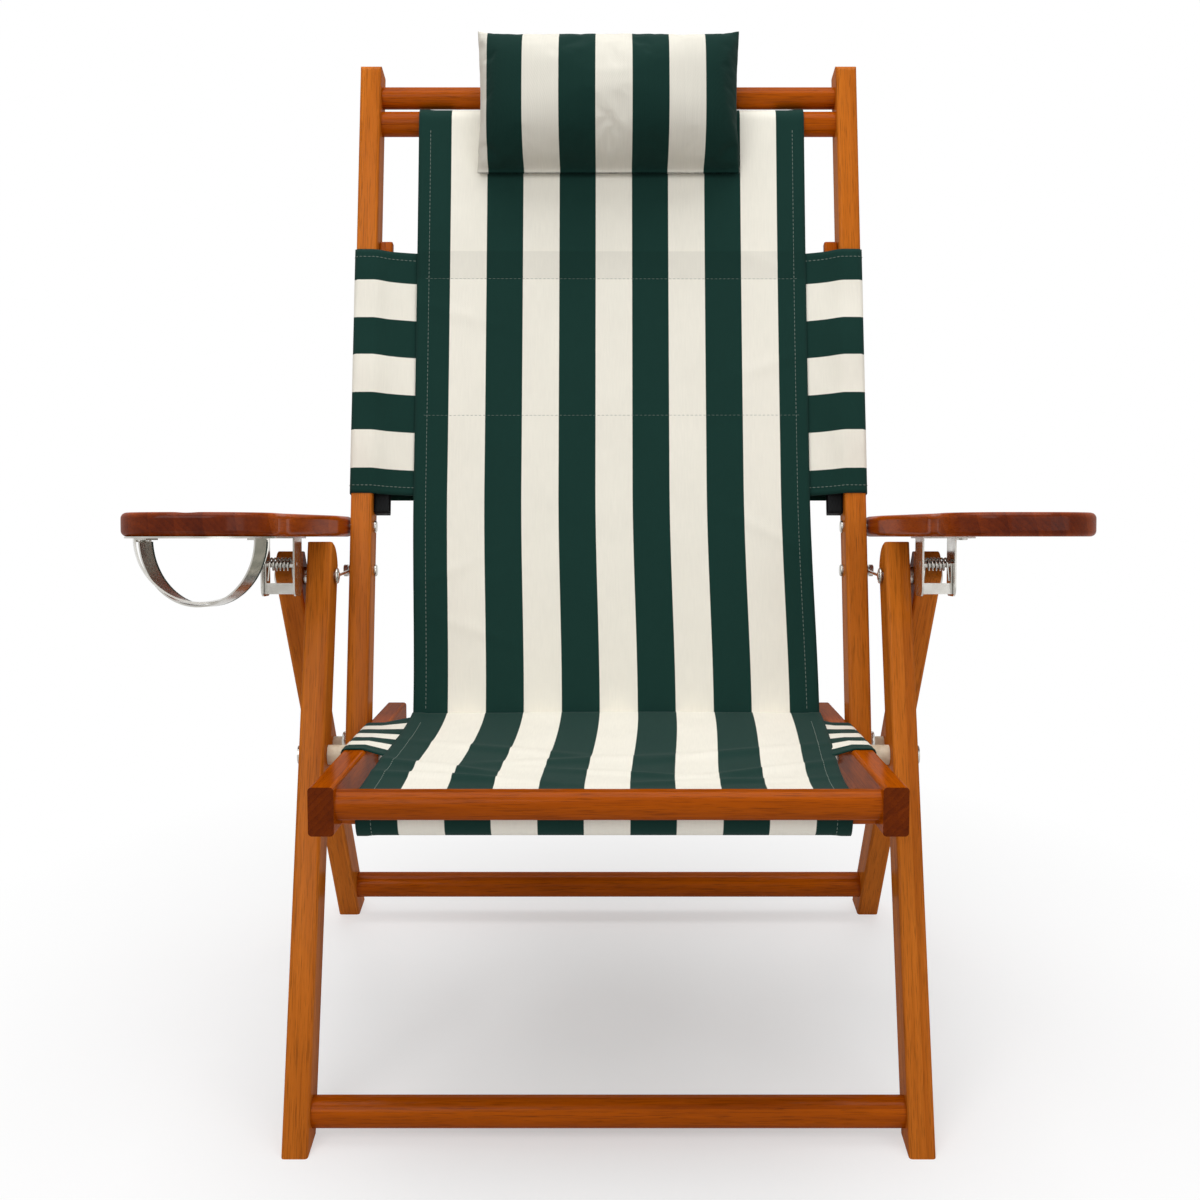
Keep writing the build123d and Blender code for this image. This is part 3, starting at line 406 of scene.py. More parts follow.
# %% [markdown]
# All canvas pieces share two dyes and one thread, and differ in their stripes. A flat cut reads its own UV
# map, and the pillow's cover, which is sewn up all round, reads the place in the chair instead.

# %% Canvas, webbing and thread
GREEN, CREAM = srgb(25, 55, 49), srgb(243, 239, 226)
THREAD = 0.9 * MM
THREAD_PEAK = 1.0 + SLUB_TALL
DOUBLED_PAINTED_SHADE = 0.9


def woven(tree, shader, dye, shade, height, rough, tall, strength):
    """Cloth on a shader: its dye times its shade, smoother on the threads' tops, and their height as bump."""
    tint = mixed(tree, 1.0, dye, grey(tree, shade), "MULTIPLY")
    finished(tree, shader, tint, spread(tree, height, 0, THREAD_PEAK, *rough), height, tall, strength)


def canvas(name, pitch, middle, along=False, band=None, sewn_up=False, dim=1.0, sheen=0.05):
    """Striped canvas: cream where the cosine of the way across, from the middle, is above zero.
    With along, stripes lie across the piece. A band (from, to) is a doubled stretch, drawn a little darker as
    painted shade, and a dim factor below 1 darkens the whole cloth as painted shade."""
    material, tree, shader = new_material(
        name, Sheen_Weight=sheen, Sheen_Roughness=0.5, Specular_IOR_Level=0.04)
    source = put(tree, "TexCoord") if sewn_up else put(tree, "UVMap", uv_map="cloth")
    cloth = source.outputs["Object" if sewn_up else "UV"]
    place = put(tree, "SeparateXYZ", {0: cloth}).outputs
    threads = use_group(tree, weave, {"Cloth": cloth, "Thread": THREAD})
    way = place[1 if along else 0]
    mask = use_group(tree, stripe, {"Across": way, "Pitch": pitch, "Middle": middle})["Mask"]
    # painted shade: a dim factor below 1 darkens the whole cloth
    shade = sums(tree, "MULTIPLY", threads["Shade"], dim)
    if band:
        # painted shade: the doubled band is drawn darker in its colour
        start = spread(tree, place[1], band[0] - MM, band[0])
        inside = sums(tree, "MULTIPLY", start, spread(tree, place[1], band[1], band[1] + MM, 1, 0))
        shade = sums(tree, "MULTIPLY", shade, spread(tree, inside, 0, 1, 1.0, DOUBLED_PAINTED_SHADE))
    dye = mixed(tree, mask, GREEN, CREAM)
    woven(tree, shader, dye, shade, threads["Height"], rough=(0.92, 0.74), tall=0.12 * MM, strength=0.5)
    return material


def plain_cloth(name, colour, thread, rough):
    """Unstriped cloth of one dye, such as webbing or sewing thread."""
    material, tree, shader = new_material(name, Sheen_Weight=0.03, Specular_IOR_Level=0.1)
    place = put(tree, "TexCoord").outputs["Object"]
    threads = use_group(tree, weave, {"Cloth": place, "Thread": thread})
    woven(tree, shader, colour, threads["Shade"], threads["Height"], rough, tall=0.1 * MM, strength=0.4)
    return material


webbing = plain_cloth("webbing", srgb(22, 23, 24), 1.6 * MM, (0.8, 0.6))
grey_thread = plain_cloth("grey_thread", srgb(118, 130, 122), 0.4 * MM, (0.7, 0.5))

# %% [markdown]
# Every cloth piece is a path in the side view, or in plan, carried across the chair: a grid of points with
# one direction along the path and one across. A sleeve round a dowel is an arc in that path. Paths are
# walked at even steps, so that the grid's squares stay about square.

# %% Helpers for paths
STEP = 4.0 * MM


def arc(centre, radius, start, end, count=24):
    """Points on a circle in a line's own coordinates; 0 degrees is along the line, 90 is off to its left."""
    turn = np.radians(np.linspace(start, end, count))
    return np.stack([centre[0] + radius * np.cos(turn), centre[1] + radius * np.sin(turn)], axis=-1)


def lengths(points):
    """The length of a path up to each of its points."""
    return np.concatenate([[0.0], np.cumsum(np.linalg.norm(np.diff(points, axis=0), axis=1))])


def read_at(at, length, values):
    """Values given along a path, read at other lengths of it."""
    return np.stack([np.interp(at, length, column) for column in values.T], axis=-1)


def even_path(points, step=STEP):
    """A path resampled at even steps of its own length, and the length at each point."""
    length = lengths(points)
    at = np.linspace(0, length[-1], int(length[-1] / step) + 1)
    return read_at(at, length, points), at


def unit(vectors):
    """Vectors divided by their lengths."""
    return vectors / np.linalg.norm(vectors, axis=-1, keepdims=True)


def smooth_step(value, low, high):
    """0 below low, 1 above high, and a smooth rise between."""
    share = np.clip((value - low) / (high - low), 0, 1)
    return share * share * (3 - 2 * share)


def between(value, rise, fall):
    """0 outside, 1 inside, with a smooth rise and a smooth fall, each from where to where."""
    return smooth_step(value, *rise) * (1 - smooth_step(value, *fall))


# %% [markdown]
# A grid becomes a mesh by joining each point with its neighbours. It gets its own length and width as UV
# coordinates, and Solidify gives it the thickness of canvas, half to each side.

# %% Helpers for cloth pieces
CANVAS_THICK = 1.1 * MM


def in_scene(name, data):
    """A new object in the scene that holds a mesh, a lamp or a camera."""
    made = bpy.data.objects.new(name, data)
    scene.collection.objects.link(made)
    return made


def new_piece(name, points, faces, material, smooth=True):
    """A mesh piece from points and faces, in the scene and with its material."""
    mesh = bpy.data.meshes.new(name)
    mesh.from_pydata(points.reshape(-1, 3).tolist(), [], faces)
    mesh.polygons.foreach_set("use_smooth", np.full(len(faces), smooth))
    mesh.materials.append(material)
    return in_scene(name, mesh)


def grid_quads(index):
    """Four-sided faces between the neighbours of a grid of point numbers."""
    corners = index[:-1, :-1], index[:-1, 1:], index[1:, 1:], index[1:, :-1]
    return np.stack(corners, axis=-1).reshape(-1, 4)


def grid_uv(across, along):
    """Cloth coordinates of a grid, from its distances across and along."""
    return np.stack(np.broadcast_arrays(across, along), axis=-1)


def cloth_piece(name, points, uv, material, thick=CANVAS_THICK):
    """A sheet from a grid of points: quads between neighbours, its UV map and its thickness."""
    rows, columns = points.shape[:2]
    quads = grid_quads(np.arange(rows * columns).reshape(rows, columns))
    piece = new_piece(name, points, quads.tolist(), material)
    layer = piece.data.uv_layers.new(name="cloth")
    layer.data.foreach_set("uv", uv.reshape(-1, 2)[quads.ravel()].astype(np.float32).ravel())
    wall = piece.modifiers.new("thickness", "SOLIDIFY")
    wall.thickness = thick
    wall.offset = 0.0
    print(name, "grid", rows, "by", columns)
    return piece


def strip(name, line, path, across, lift, shift, material):
    """A path carried across the chair: lift(across, length) raises it along the path's left normal, and
    shift(run, length) moves each row sideways."""
    run, length = even_path(path)
    raised = lift(across[None, :], length[:, None])
    way = unit(np.gradient(run, axis=0))
    along, off = run[:, :1] - way[:, 1:] * raised, run[:, 1:] + way[:, :1] * raised
    points = on_line(line, across[None, :] + shift(run, length)[:, None], along, off)
    return cloth_piece(name, points, grid_uv(across[None, :], length[:, None]), material), points, length


def as_sheet(piece, node, wide, long):
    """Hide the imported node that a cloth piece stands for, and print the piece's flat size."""
    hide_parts(node)
    print(piece.name, "cut", round(wide / MM), "by", round(long / MM), "mm")


# %% [markdown]
# Hems are sewn with a grey thread that shows on the green, so each stitch is a small spindle lying on
# the cloth. A bump would be too flat for it from the side, and one array can make all of them at once.

# %% Helpers for stitches
STITCH_LONG = 3.0 * MM
STITCH_GAP = 4.2 * MM
STITCH_WIDE, SEAM_WIDE = 0.75 * MM, 0.4 * MM
SPINDLE = np.array([-1.0, -0.7, 0.0, 0.7, 1.0])
SPINDLE_TIP = 0.15
SPINDLE_SIDES = 6


def raised_rows(points, rows, columns):
    """Lines of a grid, lifted to the cloth's face, with normals from the differences along and across."""
    normal = unit(np.cross(np.gradient(points, axis=1), np.gradient(points, axis=0)))
    face = points + normal * CANVAS_THICK / 2
    return [(face[row, column], normal[row, column]) for row in rows for column in columns]


def stitch_rows(name, rows, body, wide=STITCH_WIDE):
    """Rows of stitches: each row is (points, normals) on the cloth. A stitch is a spindle whose radius is
    the root of 1 - t squared along its length, sunk to its middle in the cloth's face."""
    found = []
    for points, normals in rows:
        length = lengths(points)
        at = np.arange(STITCH_GAP / 2, length[-1], STITCH_GAP)
        values = points, np.gradient(points, axis=0), normals
        found.append([read_at(at, length, value) for value in values])
    centre, way, up = (np.concatenate(group) for group in zip(*found))
    way, up = unit(way), unit(up)
    turn = np.linspace(0, 2 * np.pi, SPINDLE_SIDES, endpoint=False)[:, None]
    ring = np.cross(way, up)[:, None, :] * np.cos(turn) + up[:, None, :] * np.sin(turn)
    radius = wide / 2 * np.maximum(np.sqrt(1 - SPINDLE ** 2), SPINDLE_TIP)
    points = centre[:, None, None, :] + way[:, None, None, :] * (SPINDLE * STITCH_LONG / 2)[:, None, None]
    points = points + ring[:, None] * radius[:, None, None]
    index = np.arange(points[..., 0].size).reshape(points.shape[:3])
    after = np.roll(index, -1, axis=2)
    walls = np.stack([index[:, :-1], index[:, 1:], after[:, 1:], after[:, :-1]], axis=-1).reshape(-1, 4)
    ends = np.concatenate([index[:, 0], index[:, -1, ::-1]])
    piece = new_piece(name, points, walls.tolist() + ends.tolist(), grey_thread, smooth=False)
    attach(piece, body)
    print(name, "stitches", len(centre))
    return piece


# %% [markdown]
# The back sling hangs between two dowels: it goes round the hinge dowel, up the front, over the second
# dowel from the top, and each end is sewn to the back of the panel. Between the dowels it sags a little,
# which a parabola gives. Its path is worked out first, because other pieces lie against it.

# %% Back sling: its path
SLING_SAG = 9 * MM
SLEEVE_CLEAR = 1.0 * MM
SLEEVE_HEM, HEM_BEHIND = 46 * MM, 2.6 * MM
HINGE_DOWEL_RADIUS = 13 * MM
sling_foot, foot_radius = off_line(BACK, HINGE), HINGE_DOWEL_RADIUS + SLEEVE_CLEAR
sling_head, head_radius = dowel_of("sling_dowel", BACK)
head_radius = head_radius + SLEEVE_CLEAR


def hang(along, foot, head, low, high, sag):
    """How far off its line a sling hangs: a straight line from low to high less a parabola."""
    share = np.clip((along - foot) / (head - foot), 0, 1)
    return low + (high - low) * share - sag * 4 * share * (1 - share)


def back_off(along):
    """How far in front of the uprights' line the back sling hangs."""
    low, high = sling_foot[1] + foot_radius, sling_head[1] + head_radius
    return hang(along, sling_foot[0], sling_head[0], low, high, SLING_SAG)


panel_along = np.linspace(sling_foot[0], sling_head[0], 160)
head_hem = sling_head[0] - SLEEVE_HEM
back_path = np.concatenate([
    [[SLEEVE_HEM, back_off(SLEEVE_HEM) - HEM_BEHIND]],
    arc(sling_foot, foot_radius, -40, -270),
    np.stack([panel_along, back_off(panel_along)], axis=-1)[1:-1],
    arc(sling_head, head_radius, 90, -140),
    [[head_hem, back_off(head_hem) - HEM_BEHIND]],
])
back_run, back_length = even_path(back_path)
print("back sling path", round(back_length[-1] / MM), "mm")

# %% [markdown]
# Canvas under a sitter is never quite flat: a few shallow creases keep it from looking like sheet metal.
# Each crease is a bell across its own slanted line that fades along it. Hems are doubled cloth, so they
# stand proud, and the whole sling has crept a few millimetres to one side of its dowels.

# %% Back sling: the cloth
SLING_HALF = 195 * MM
SHIFT_HIGH, SHIFT_CREASE, SHIFT_FRONT = 3 * MM, 7.5 * MM, -3.5 * MM
SHIFT_SPAN = 20 * MM, 250 * MM
STRIPE_PITCH, STRIPE_MIDDLE = 36.5 * MM, 2.4 * MM
HEM_WIDE, HEM_RISE, HEM_SLOPE = 11 * MM, 0.7 * MM, 1.5 * MM
BAND_FROM, BAND_TO, SEAM_AT = 457.5 * MM, 489 * MM, 319.5 * MM
BACK_FREE = (0.13, 0.2), (0.66, 0.72)
# Each crease: how far along and across, its slope, its reach and width in metres, and its height in mm
BACK_CREASES = (
    (0.20, -0.13, 0.35, 0.05, 0.006, 0.9), (0.26, -0.16, -0.4, 0.04, 0.006, 0.8),
    (0.30, 0.15, 0.5, 0.05, 0.006, 0.9), (0.47, 0.16, -0.35, 0.05, 0.006, 0.8),
    (0.52, -0.15, 0.3, 0.05, 0.006, 0.8), (0.58, 0.14, 0.4, 0.05, 0.006, 0.7),
)
across = np.linspace(-SLING_HALF, SLING_HALF, 99)
bottom, top = int(np.argmin(back_run[:, 0])), int(np.argmax(back_run[:, 0]))


def row_at(along):
    """The row of the front panel's grid that lies a distance along the back."""
    return bottom + int(np.searchsorted(back_run[bottom:top, 0], along))


def creases(across, length, table):
    """Slanted folds added up: each is its height times a bell across its line and a bell along it."""
    total = 0
    for at, side, slope, reach, wide, height in table:
        aside = across - side
        total = total + height * np.exp(-((length - at + slope * aside) / wide) ** 2 - (aside / reach) ** 2)
    return total


def hem_ridge(across):
    """The doubled cloth along both edges: a low step that starts at the stitched line."""
    stitched = SLING_HALF - HEM_WIDE
    return HEM_RISE * smooth_step(np.abs(across), stitched - HEM_SLOPE, stitched)


def back_lift(across, length):
    """Slow waves and creases, which fade where the cloth is pulled round a dowel, and the hems."""
    slow = 0.7 * np.sin(9 * across + 7 * length) * np.sin(11 * length + 1.0)
    folds = slow + creases(across, length, BACK_CREASES)
    return folds * between(length, *BACK_FREE) * MM + hem_ridge(across)


def back_shift(run, length):
    """How far to one side each row lies: most at the crease."""
    return SHIFT_HIGH + (SHIFT_CREASE - SHIFT_HIGH) * (1 - smooth_step(run[:, 0], *SHIFT_SPAN))


band = tuple(float(back_length[row_at(along)]) for along in (BAND_FROM, BAND_TO))
sling_canvas = canvas("sling_canvas", STRIPE_PITCH, STRIPE_MIDDLE, band=band)
back_sling, back_points, back_length = strip(
    "back_sling_cloth", BACK, back_path, across, back_lift, back_shift, sling_canvas)
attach(back_sling, "back_frame")

# %% [markdown]
# The side hems are stitched from crease to head, and two finer seams cross the panel where a doubled band
# and the pocket behind are sewn on. Their rows are lines of the sling's own grid, so they follow its folds.

# %% Back sling: hems and seams
HEM_FOOT, HEM_HEAD = 28 * MM, 10 * MM
panel_rows = slice(row_at(HEM_FOOT), row_at(sling_head[0] - HEM_HEAD))
hem_columns = [int(np.argmin(np.abs(across - side * (SLING_HALF - HEM_WIDE)))) for side in (-1, 1)]
hems = stitch_rows("back_hem_stitches", raised_rows(back_points, [panel_rows], hem_columns), "back_frame")
seam_lines = raised_rows(back_points, [row_at(along) for along in (BAND_FROM, SEAM_AT)], [slice(2, -2)])
seams = stitch_rows("back_seam_stitches", seam_lines, "back_frame", SEAM_WIDE)
as_sheet(back_sling, "back_sling", 2 * SLING_HALF, back_length[-1])

# %% [markdown]
# The seat sling starts in the crease against the back, sags between the rails and goes round the dowel
# behind the front rail, where its sleeve hangs loose below. It dips where it is sewn to the back.

# %% Seat sling: its path
SEAT_SAG = 4 * MM
CREASE_UP, CREASE_OFF = 27 * MM, 1.3 * MM
CREASE_DIP, DIP_LONG = 3 * MM, 5 * MM
SLEEVE_DROOP = 7.5 * MM
seat_dowel, seat_radius = dowel_of("seat_sling_dowel", SEAT)
seat_radius = seat_radius + SLEEVE_CLEAR
crease = BACK[0] + CREASE_UP * BACK[1] + (back_off(CREASE_UP) + CREASE_OFF) * BACK[2]
crease_at = off_line(SEAT, crease)


def seat_off(along):
    """How far above the rails' line the seat hangs, with a dip where it is sewn to the back."""
    low, high = seat_dowel[1] + seat_radius, crease_at[1]
    dip = CREASE_DIP * smooth_step(along, crease_at[0] - DIP_LONG, crease_at[0])
    return hang(along, seat_dowel[0], crease_at[0], low, high, SEAT_SAG) - dip


seat_along = np.linspace(crease_at[0], seat_dowel[0], 90)
sleeve = arc(seat_dowel, seat_radius, 90, 320, 40)
sleeve[:, 1] -= SLEEVE_DROOP * np.clip((seat_dowel[1] - sleeve[:, 1]) / seat_radius, 0, 1)
seat_hem = seat_dowel[0] + SLEEVE_HEM
seat_path = np.concatenate([
    np.stack([seat_along, seat_off(seat_along)], axis=-1)[:-1],
    sleeve,
    [[seat_hem, seat_off(seat_hem) - HEM_BEHIND]],
])[::-1]
print("crease at", np.round(crease / MM, 1), "mm in the side view")

# %% [markdown]
# A sitter has left the seat in soft folds that run across near the front. Where the sling meets the back, the
# hem stitches stop short of its last stretch, and they ride on the seat.

# %% Seat sling: the cloth
BEND_LONG = 30 * MM
SEAT_HEM_FROM = 60 * MM
FOLD_HEIGHT = 1.5
SEAT_FREE = (0.11, 0.15), (0.36, 0.4)
SEAT_CREASES = (
    (0.150, -0.12, 0.25, 0.07, 0.007, 2.2), (0.185, -0.14, 0.45, 0.06, 0.008, 2.0),
    (0.215, -0.02, -0.2, 0.09, 0.009, 1.6), (0.165, 0.03, 0.2, 0.07, 0.007, 1.8),
    (0.180, 0.13, -0.4, 0.06, 0.008, 2.0), (0.235, 0.10, -0.3, 0.08, 0.009, 1.6),
    (0.140, 0.08, -0.15, 0.08, 0.006, 1.6), (0.250, -0.09, 0.3, 0.08, 0.009, 1.4),
)


def seat_lift(across, length):
    """Soft folds and a slow wave, which fade to the crease and the sleeve, and the doubled hems."""
    slow = 1.2 * np.sin(14 * across + 20 * length)
    folds = FOLD_HEIGHT * creases(across, length, SEAT_CREASES) + slow
    return folds * between(length, *SEAT_FREE) * MM + hem_ridge(across)


def seat_shift(run, length):
    """How far to one side each row lies: from one side at the front to the other at the crease."""
    share = smooth_step(length, length[-1] - (crease_at[0] - seat_dowel[0]), length[-1])
    return SHIFT_FRONT + (SHIFT_CREASE - SHIFT_FRONT) * share


seat_canvas = canvas("seat_canvas", STRIPE_PITCH, STRIPE_MIDDLE)
seat_sling, seat_points, seat_length = strip(
    "seat_sling_cloth", SEAT, seat_path, across, seat_lift, seat_shift, seat_canvas)
bend_at = crease_at[0] - BEND_LONG
bend_start = on_line(SEAT, 0.0, bend_at, seat_off(bend_at))
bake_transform(seat_sling)
seat_rows = slice(int(SEAT_HEM_FROM / STEP), int((seat_length[-1] - BEND_LONG) / STEP))
hems = stitch_rows("seat_hem_stitches", raised_rows(seat_points, [seat_rows], hem_columns), "seat_frame")
as_sheet(seat_sling, "seat_sling", 2 * SLING_HALF, seat_length[-1])

# %% [markdown]
# Behind the sling a band of canvas goes round both uprights and makes a flat pocket. Seen from the front
# it shows as two striped wraps whose inner edges pass behind the sling. In plan it is one path with
# rounded corners, half of it mirrored, and it is carried up along the uprights.

# %% Back pocket: its plan
POCKET_FROM, POCKET_TO = 240 * MM, 488 * MM
UPRIGHT_HALF = 18 * MM
WRAP_CLEAR, WRAP_ROUND = 1.0 * MM, 3.5 * MM
LEAD_LONG, LEAD_DEPTH = 12 * MM, 0.62
UPRIGHT_IN, UPRIGHT_OUT = (corner[0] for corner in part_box("upright_right"))
front_off, side_out = UPRIGHT_HALF + WRAP_CLEAR, UPRIGHT_OUT + WRAP_CLEAR
half_plan = np.concatenate([
    [[UPRIGHT_IN - LEAD_LONG, LEAD_DEPTH * front_off], [UPRIGHT_IN + MM, front_off]],
    arc((side_out - WRAP_ROUND, front_off - WRAP_ROUND), WRAP_ROUND, 90, 0, 8),
    arc((side_out - WRAP_ROUND, WRAP_ROUND - front_off), WRAP_ROUND, 0, -90, 8),
])
plan_run, _ = even_path(np.concatenate([half_plan, half_plan[::-1] * np.array([-1, 1])]))
pocket_along = np.linspace(POCKET_FROM, POCKET_TO, 64)
print("pocket plan points", len(plan_run))

# %% [markdown]
# Both front ends of the band are tucked under the sling's hems, so they are led in behind its panel. The
# rear hangs a little slack, as an empty pocket does, and the wraps pucker where they are pulled tight.

# %% Back pocket: the cloth
POCKET_PITCH, POCKET_MIDDLE = 38.2 * MM, 51 * MM
POCKET_SLACK, PUCKER = 4 * MM, 0.9 * MM
TUCK_UNDER, TUCK_BEHIND, TUCK_CURVE = 10 * MM, 3.0 * MM, 1.6
REAR_FROM, REAR_FADE = (15 * MM, 18 * MM), 60 * MM
FRONT_FROM = 6 * MM, 16 * MM
HEM_SHARES = 0.04, 0.965
tuck = np.linspace(0, 1, 7)[:-1]
tuck_in = SLING_HALF - TUCK_UNDER


def pocket_grid():
    """The pocket's grid: the plan carried along the uprights, with both front ends led behind the sling."""
    right, left = (
        side * tuck_in + SHIFT_HIGH + (end - side * tuck_in - SHIFT_HIGH) * tuck
        for side, end in ((1, plan_run[0, 0]), (-1, plan_run[-1, 0]))
    )
    behind = back_off(pocket_along)[:, None] - TUCK_BEHIND
    off_in = behind + (plan_run[0, 1] - behind) * tuck[None, :] ** TUCK_CURVE
    off_round = np.repeat(plan_run[None, :, 1], len(pocket_along), 0)
    x = np.concatenate([right, plan_run[:, 0], left[::-1]])
    off = np.concatenate([off_in, off_round, off_in[:, ::-1]], axis=1)
    slack = np.sin(np.pi * (pocket_along - POCKET_FROM) / (POCKET_TO - POCKET_FROM))[:, None]
    rear = smooth_step(-off, *REAR_FROM) * smooth_step(UPRIGHT_IN - np.abs(x), 0, REAR_FADE)
    pucker = PUCKER * np.sin(70 * pocket_along[:, None] + 24 * x) * smooth_step(off, *FRONT_FROM)
    off = off - rear * slack * POCKET_SLACK * (1 + 0.3 * np.sin(16 * x)) + pucker * (np.abs(x) < UPRIGHT_OUT)
    points = on_line(BACK, x, pocket_along[:, None], off)
    girth = lengths(points[0])
    return points, grid_uv(girth[None, :], (POCKET_TO - pocket_along)[:, None]), girth[-1]


pocket_points, pocket_uv, pocket_girth = pocket_grid()
pocket_canvas = canvas("pocket_canvas", POCKET_PITCH, POCKET_MIDDLE, along=True)
pocket = cloth_piece("pocket_cloth", pocket_points, pocket_uv, pocket_canvas)
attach(pocket, "back_frame")
hem_rows = [int(len(pocket_along) * share) for share in HEM_SHARES]
hems = stitch_rows("pocket_stitches", raised_rows(pocket_points, hem_rows, [slice(0, None)]), "back_frame")
as_sheet(pocket, "back_pocket", pocket_girth, POCKET_TO - POCKET_FROM)

# %% [markdown]
# Two strips with narrow stripes tie the seat's edges to the rails: from under the hem, up over the rail
# and a little way down its outer face, where the leg leaves room for it. A little less than seven stripes
# fit, so both edges are green.

# %% Seat wraps
WRAP_FROM, WRAP_TO = -84 * MM, 58 * MM
WRAP_STRIPES = 6.93
WRAP_IN, WRAP_UNDER = SLING_HALF - 13 * MM, 1.6 * MM
WRAP_LIFT, WRAP_CORNER, WRAP_STEP = 0.9 * MM, 3 * MM, 2.2 * MM
WRAP_LIP, LIP_LEAST = 9 * MM, 0.4 * MM
LIP_FADE = -30 * MM, -22 * MM
WRINKLE, WRINKLE_LONG, WRINKLE_FADE = 0.25 * MM, 17 * MM, (2 * MM, 8 * MM)
RAIL_HALF = 19 * MM
RAIL_IN, RAIL_OUT = (corner[0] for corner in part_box("seat_rail_right"))
wrap_along = np.linspace(WRAP_FROM, WRAP_TO, 44)
top_off = RAIL_HALF + WRAP_LIFT
corner_at = RAIL_OUT + WRAP_LIFT - WRAP_CORNER, top_off - WRAP_CORNER
over = np.concatenate([[[RAIL_IN + WRAP_CORNER, top_off]], arc(corner_at, WRAP_CORNER, 90, 0, 7)])
over_run, _ = even_path(over, WRAP_STEP)


def wrap_grid(side):
    """A wrap's grid: from under the sling's hem over the rail, and down its outer face by a lip that
    shortens towards the bolt."""
    under = seat_off(wrap_along)[:, None] - WRAP_UNDER
    off_in = under + (over_run[0, 1] - under) * tuck[None, :]
    off_over = np.repeat(over_run[None, :, 1], len(wrap_along), 0)
    drop = WRAP_LIP * (1 - smooth_step(wrap_along, *LIP_FADE)) + LIP_LEAST
    off_lip = over_run[-1, 1] - drop[:, None] * np.linspace(0, 1, 5)[None, 1:]
    x_in = WRAP_IN + (over_run[0, 0] - WRAP_IN) * tuck
    x = np.concatenate([x_in, over_run[:, 0], np.full(4, over_run[-1, 0])])
    off = np.concatenate([off_in, off_over, off_lip], axis=1)
    wrinkle = WRINKLE * np.sin(2 * np.pi * wrap_along[:, None] / WRINKLE_LONG + 60 * x)
    off = off + wrinkle * smooth_step(over_run[-1, 0] - x, *WRINKLE_FADE)
    points = on_line(SEAT, side * x, wrap_along[:, None], off)
    girth = lengths(points[0])
    uv = grid_uv(girth[None, :], wrap_along[:, None])
    order = slice(None, None, -side)
    return points[::-1, order], uv[::-1, order], girth[-1]


wrap_pitch, wrap_middle = (WRAP_TO - WRAP_FROM) / WRAP_STRIPES, (WRAP_FROM + WRAP_TO) / 2
wrap_canvas = canvas("wrap_canvas", wrap_pitch, wrap_middle, along=True)
for side, hand in ((1, "right"), (-1, "left")):
    wrap_points, wrap_uv, wrap_girth = wrap_grid(side)
    wrap = cloth_piece("wrap_cloth_" + hand, wrap_points, wrap_uv, wrap_canvas)
    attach(wrap, "seat_frame")
    as_sheet(wrap, "seat_wrap_" + hand, wrap_girth, WRAP_TO - WRAP_FROM)

# %% [markdown]
# The pillow is a striped cover round a filling, flat where it lies on the sling and sewn along its foot
# into a narrow flange. Its two panels share their border, so the seam is closed, and its upper corners are
# drawn out to ears. A formula gives the plump shape that the stuffing starts from.

# %% Pillow: the sewn cover
PILLOW_WIDE, PILLOW_FOOT, PILLOW_HEAD = 266 * MM, 573 * MM, 706 * MM
PILLOW_FLANGE, PILLOW_THICK, PILLOW_EAR = 6 * MM, 63 * MM, 7 * MM
SEAM_LIFT, SEAM_RISE, SIDE_PINCH = 1 * MM, 17 * MM, 3 * MM
PILLOW_COLUMNS, PILLOW_ROWS = 81, 53
PILLOW_CLEAR = 2.4 * MM
PILLOW_REST = head_radius + PILLOW_CLEAR


def sewn_cover():
    """Two panels that share their border. The front swells by the root of (1 - u to the 4th)(1 - v to the
    3rd) over a seam that rises from foot to head, and the back sinks from that seam to the sling."""
    u = np.linspace(-1, 1, PILLOW_COLUMNS)[None, :]
    side = np.abs(u)
    along = np.linspace(PILLOW_FOOT - PILLOW_FLANGE, PILLOW_HEAD, PILLOW_ROWS)[:, None]
    v = np.clip(2 * (along - PILLOW_FOOT) / (PILLOW_HEAD - PILLOW_FOOT) - 1, -1, 1)
    x = PILLOW_WIDE / 2 * u - SIDE_PINCH * (1 - v ** 2) * np.sign(u) * side ** 4
    along = along + PILLOW_EAR * side ** 9 * smooth_step(v, 0.6, 1.0)
    seam = SEAM_LIFT + SEAM_RISE * smooth_step(v, -1.0, 0.9)
    swell = np.sqrt((1 - side ** 4) * (1 - np.abs(v) ** 3))
    flat = np.minimum(1, 6 * (1 - side) * (1 + v)) * np.minimum(1, 6 * (1 - v)) * (1 - side ** 6)
    front = on_line(BACK, x, along, PILLOW_REST + seam + (PILLOW_THICK - seam) * swell)
    back = on_line(BACK, x, along, PILLOW_REST + seam * (1 - flat))
    index = np.arange(PILLOW_ROWS * PILLOW_COLUMNS).reshape(PILLOW_ROWS, PILLOW_COLUMNS)
    border = np.zeros(index.shape, bool)
    border[[0, -1]] = border[:, [0, -1]] = True
    rear = np.where(border, index, np.cumsum(~border).reshape(index.shape) - 1 + index.size)
    points = np.concatenate([front.reshape(-1, 3), back[~border]])
    held = np.concatenate([(border | (v <= -1)).ravel(), np.ones((~border).sum(), bool)])
    return points, np.concatenate([grid_quads(index), grid_quads(rear)[:, ::-1]]), held


pillow_points, pillow_quads, pillow_held = sewn_cover()
print("pillow cover", len(pillow_points), "points", int(pillow_held.sum()), "held")

# %% [markdown]
# A formula can draw the plump shape, but not how stuffed cloth pulls at its seams. So Blender's cloth, with
# a pressure inside and a cover cut a little too large, settles the front for a few frames, while back and
# seams are held. How far a point may move is capped.

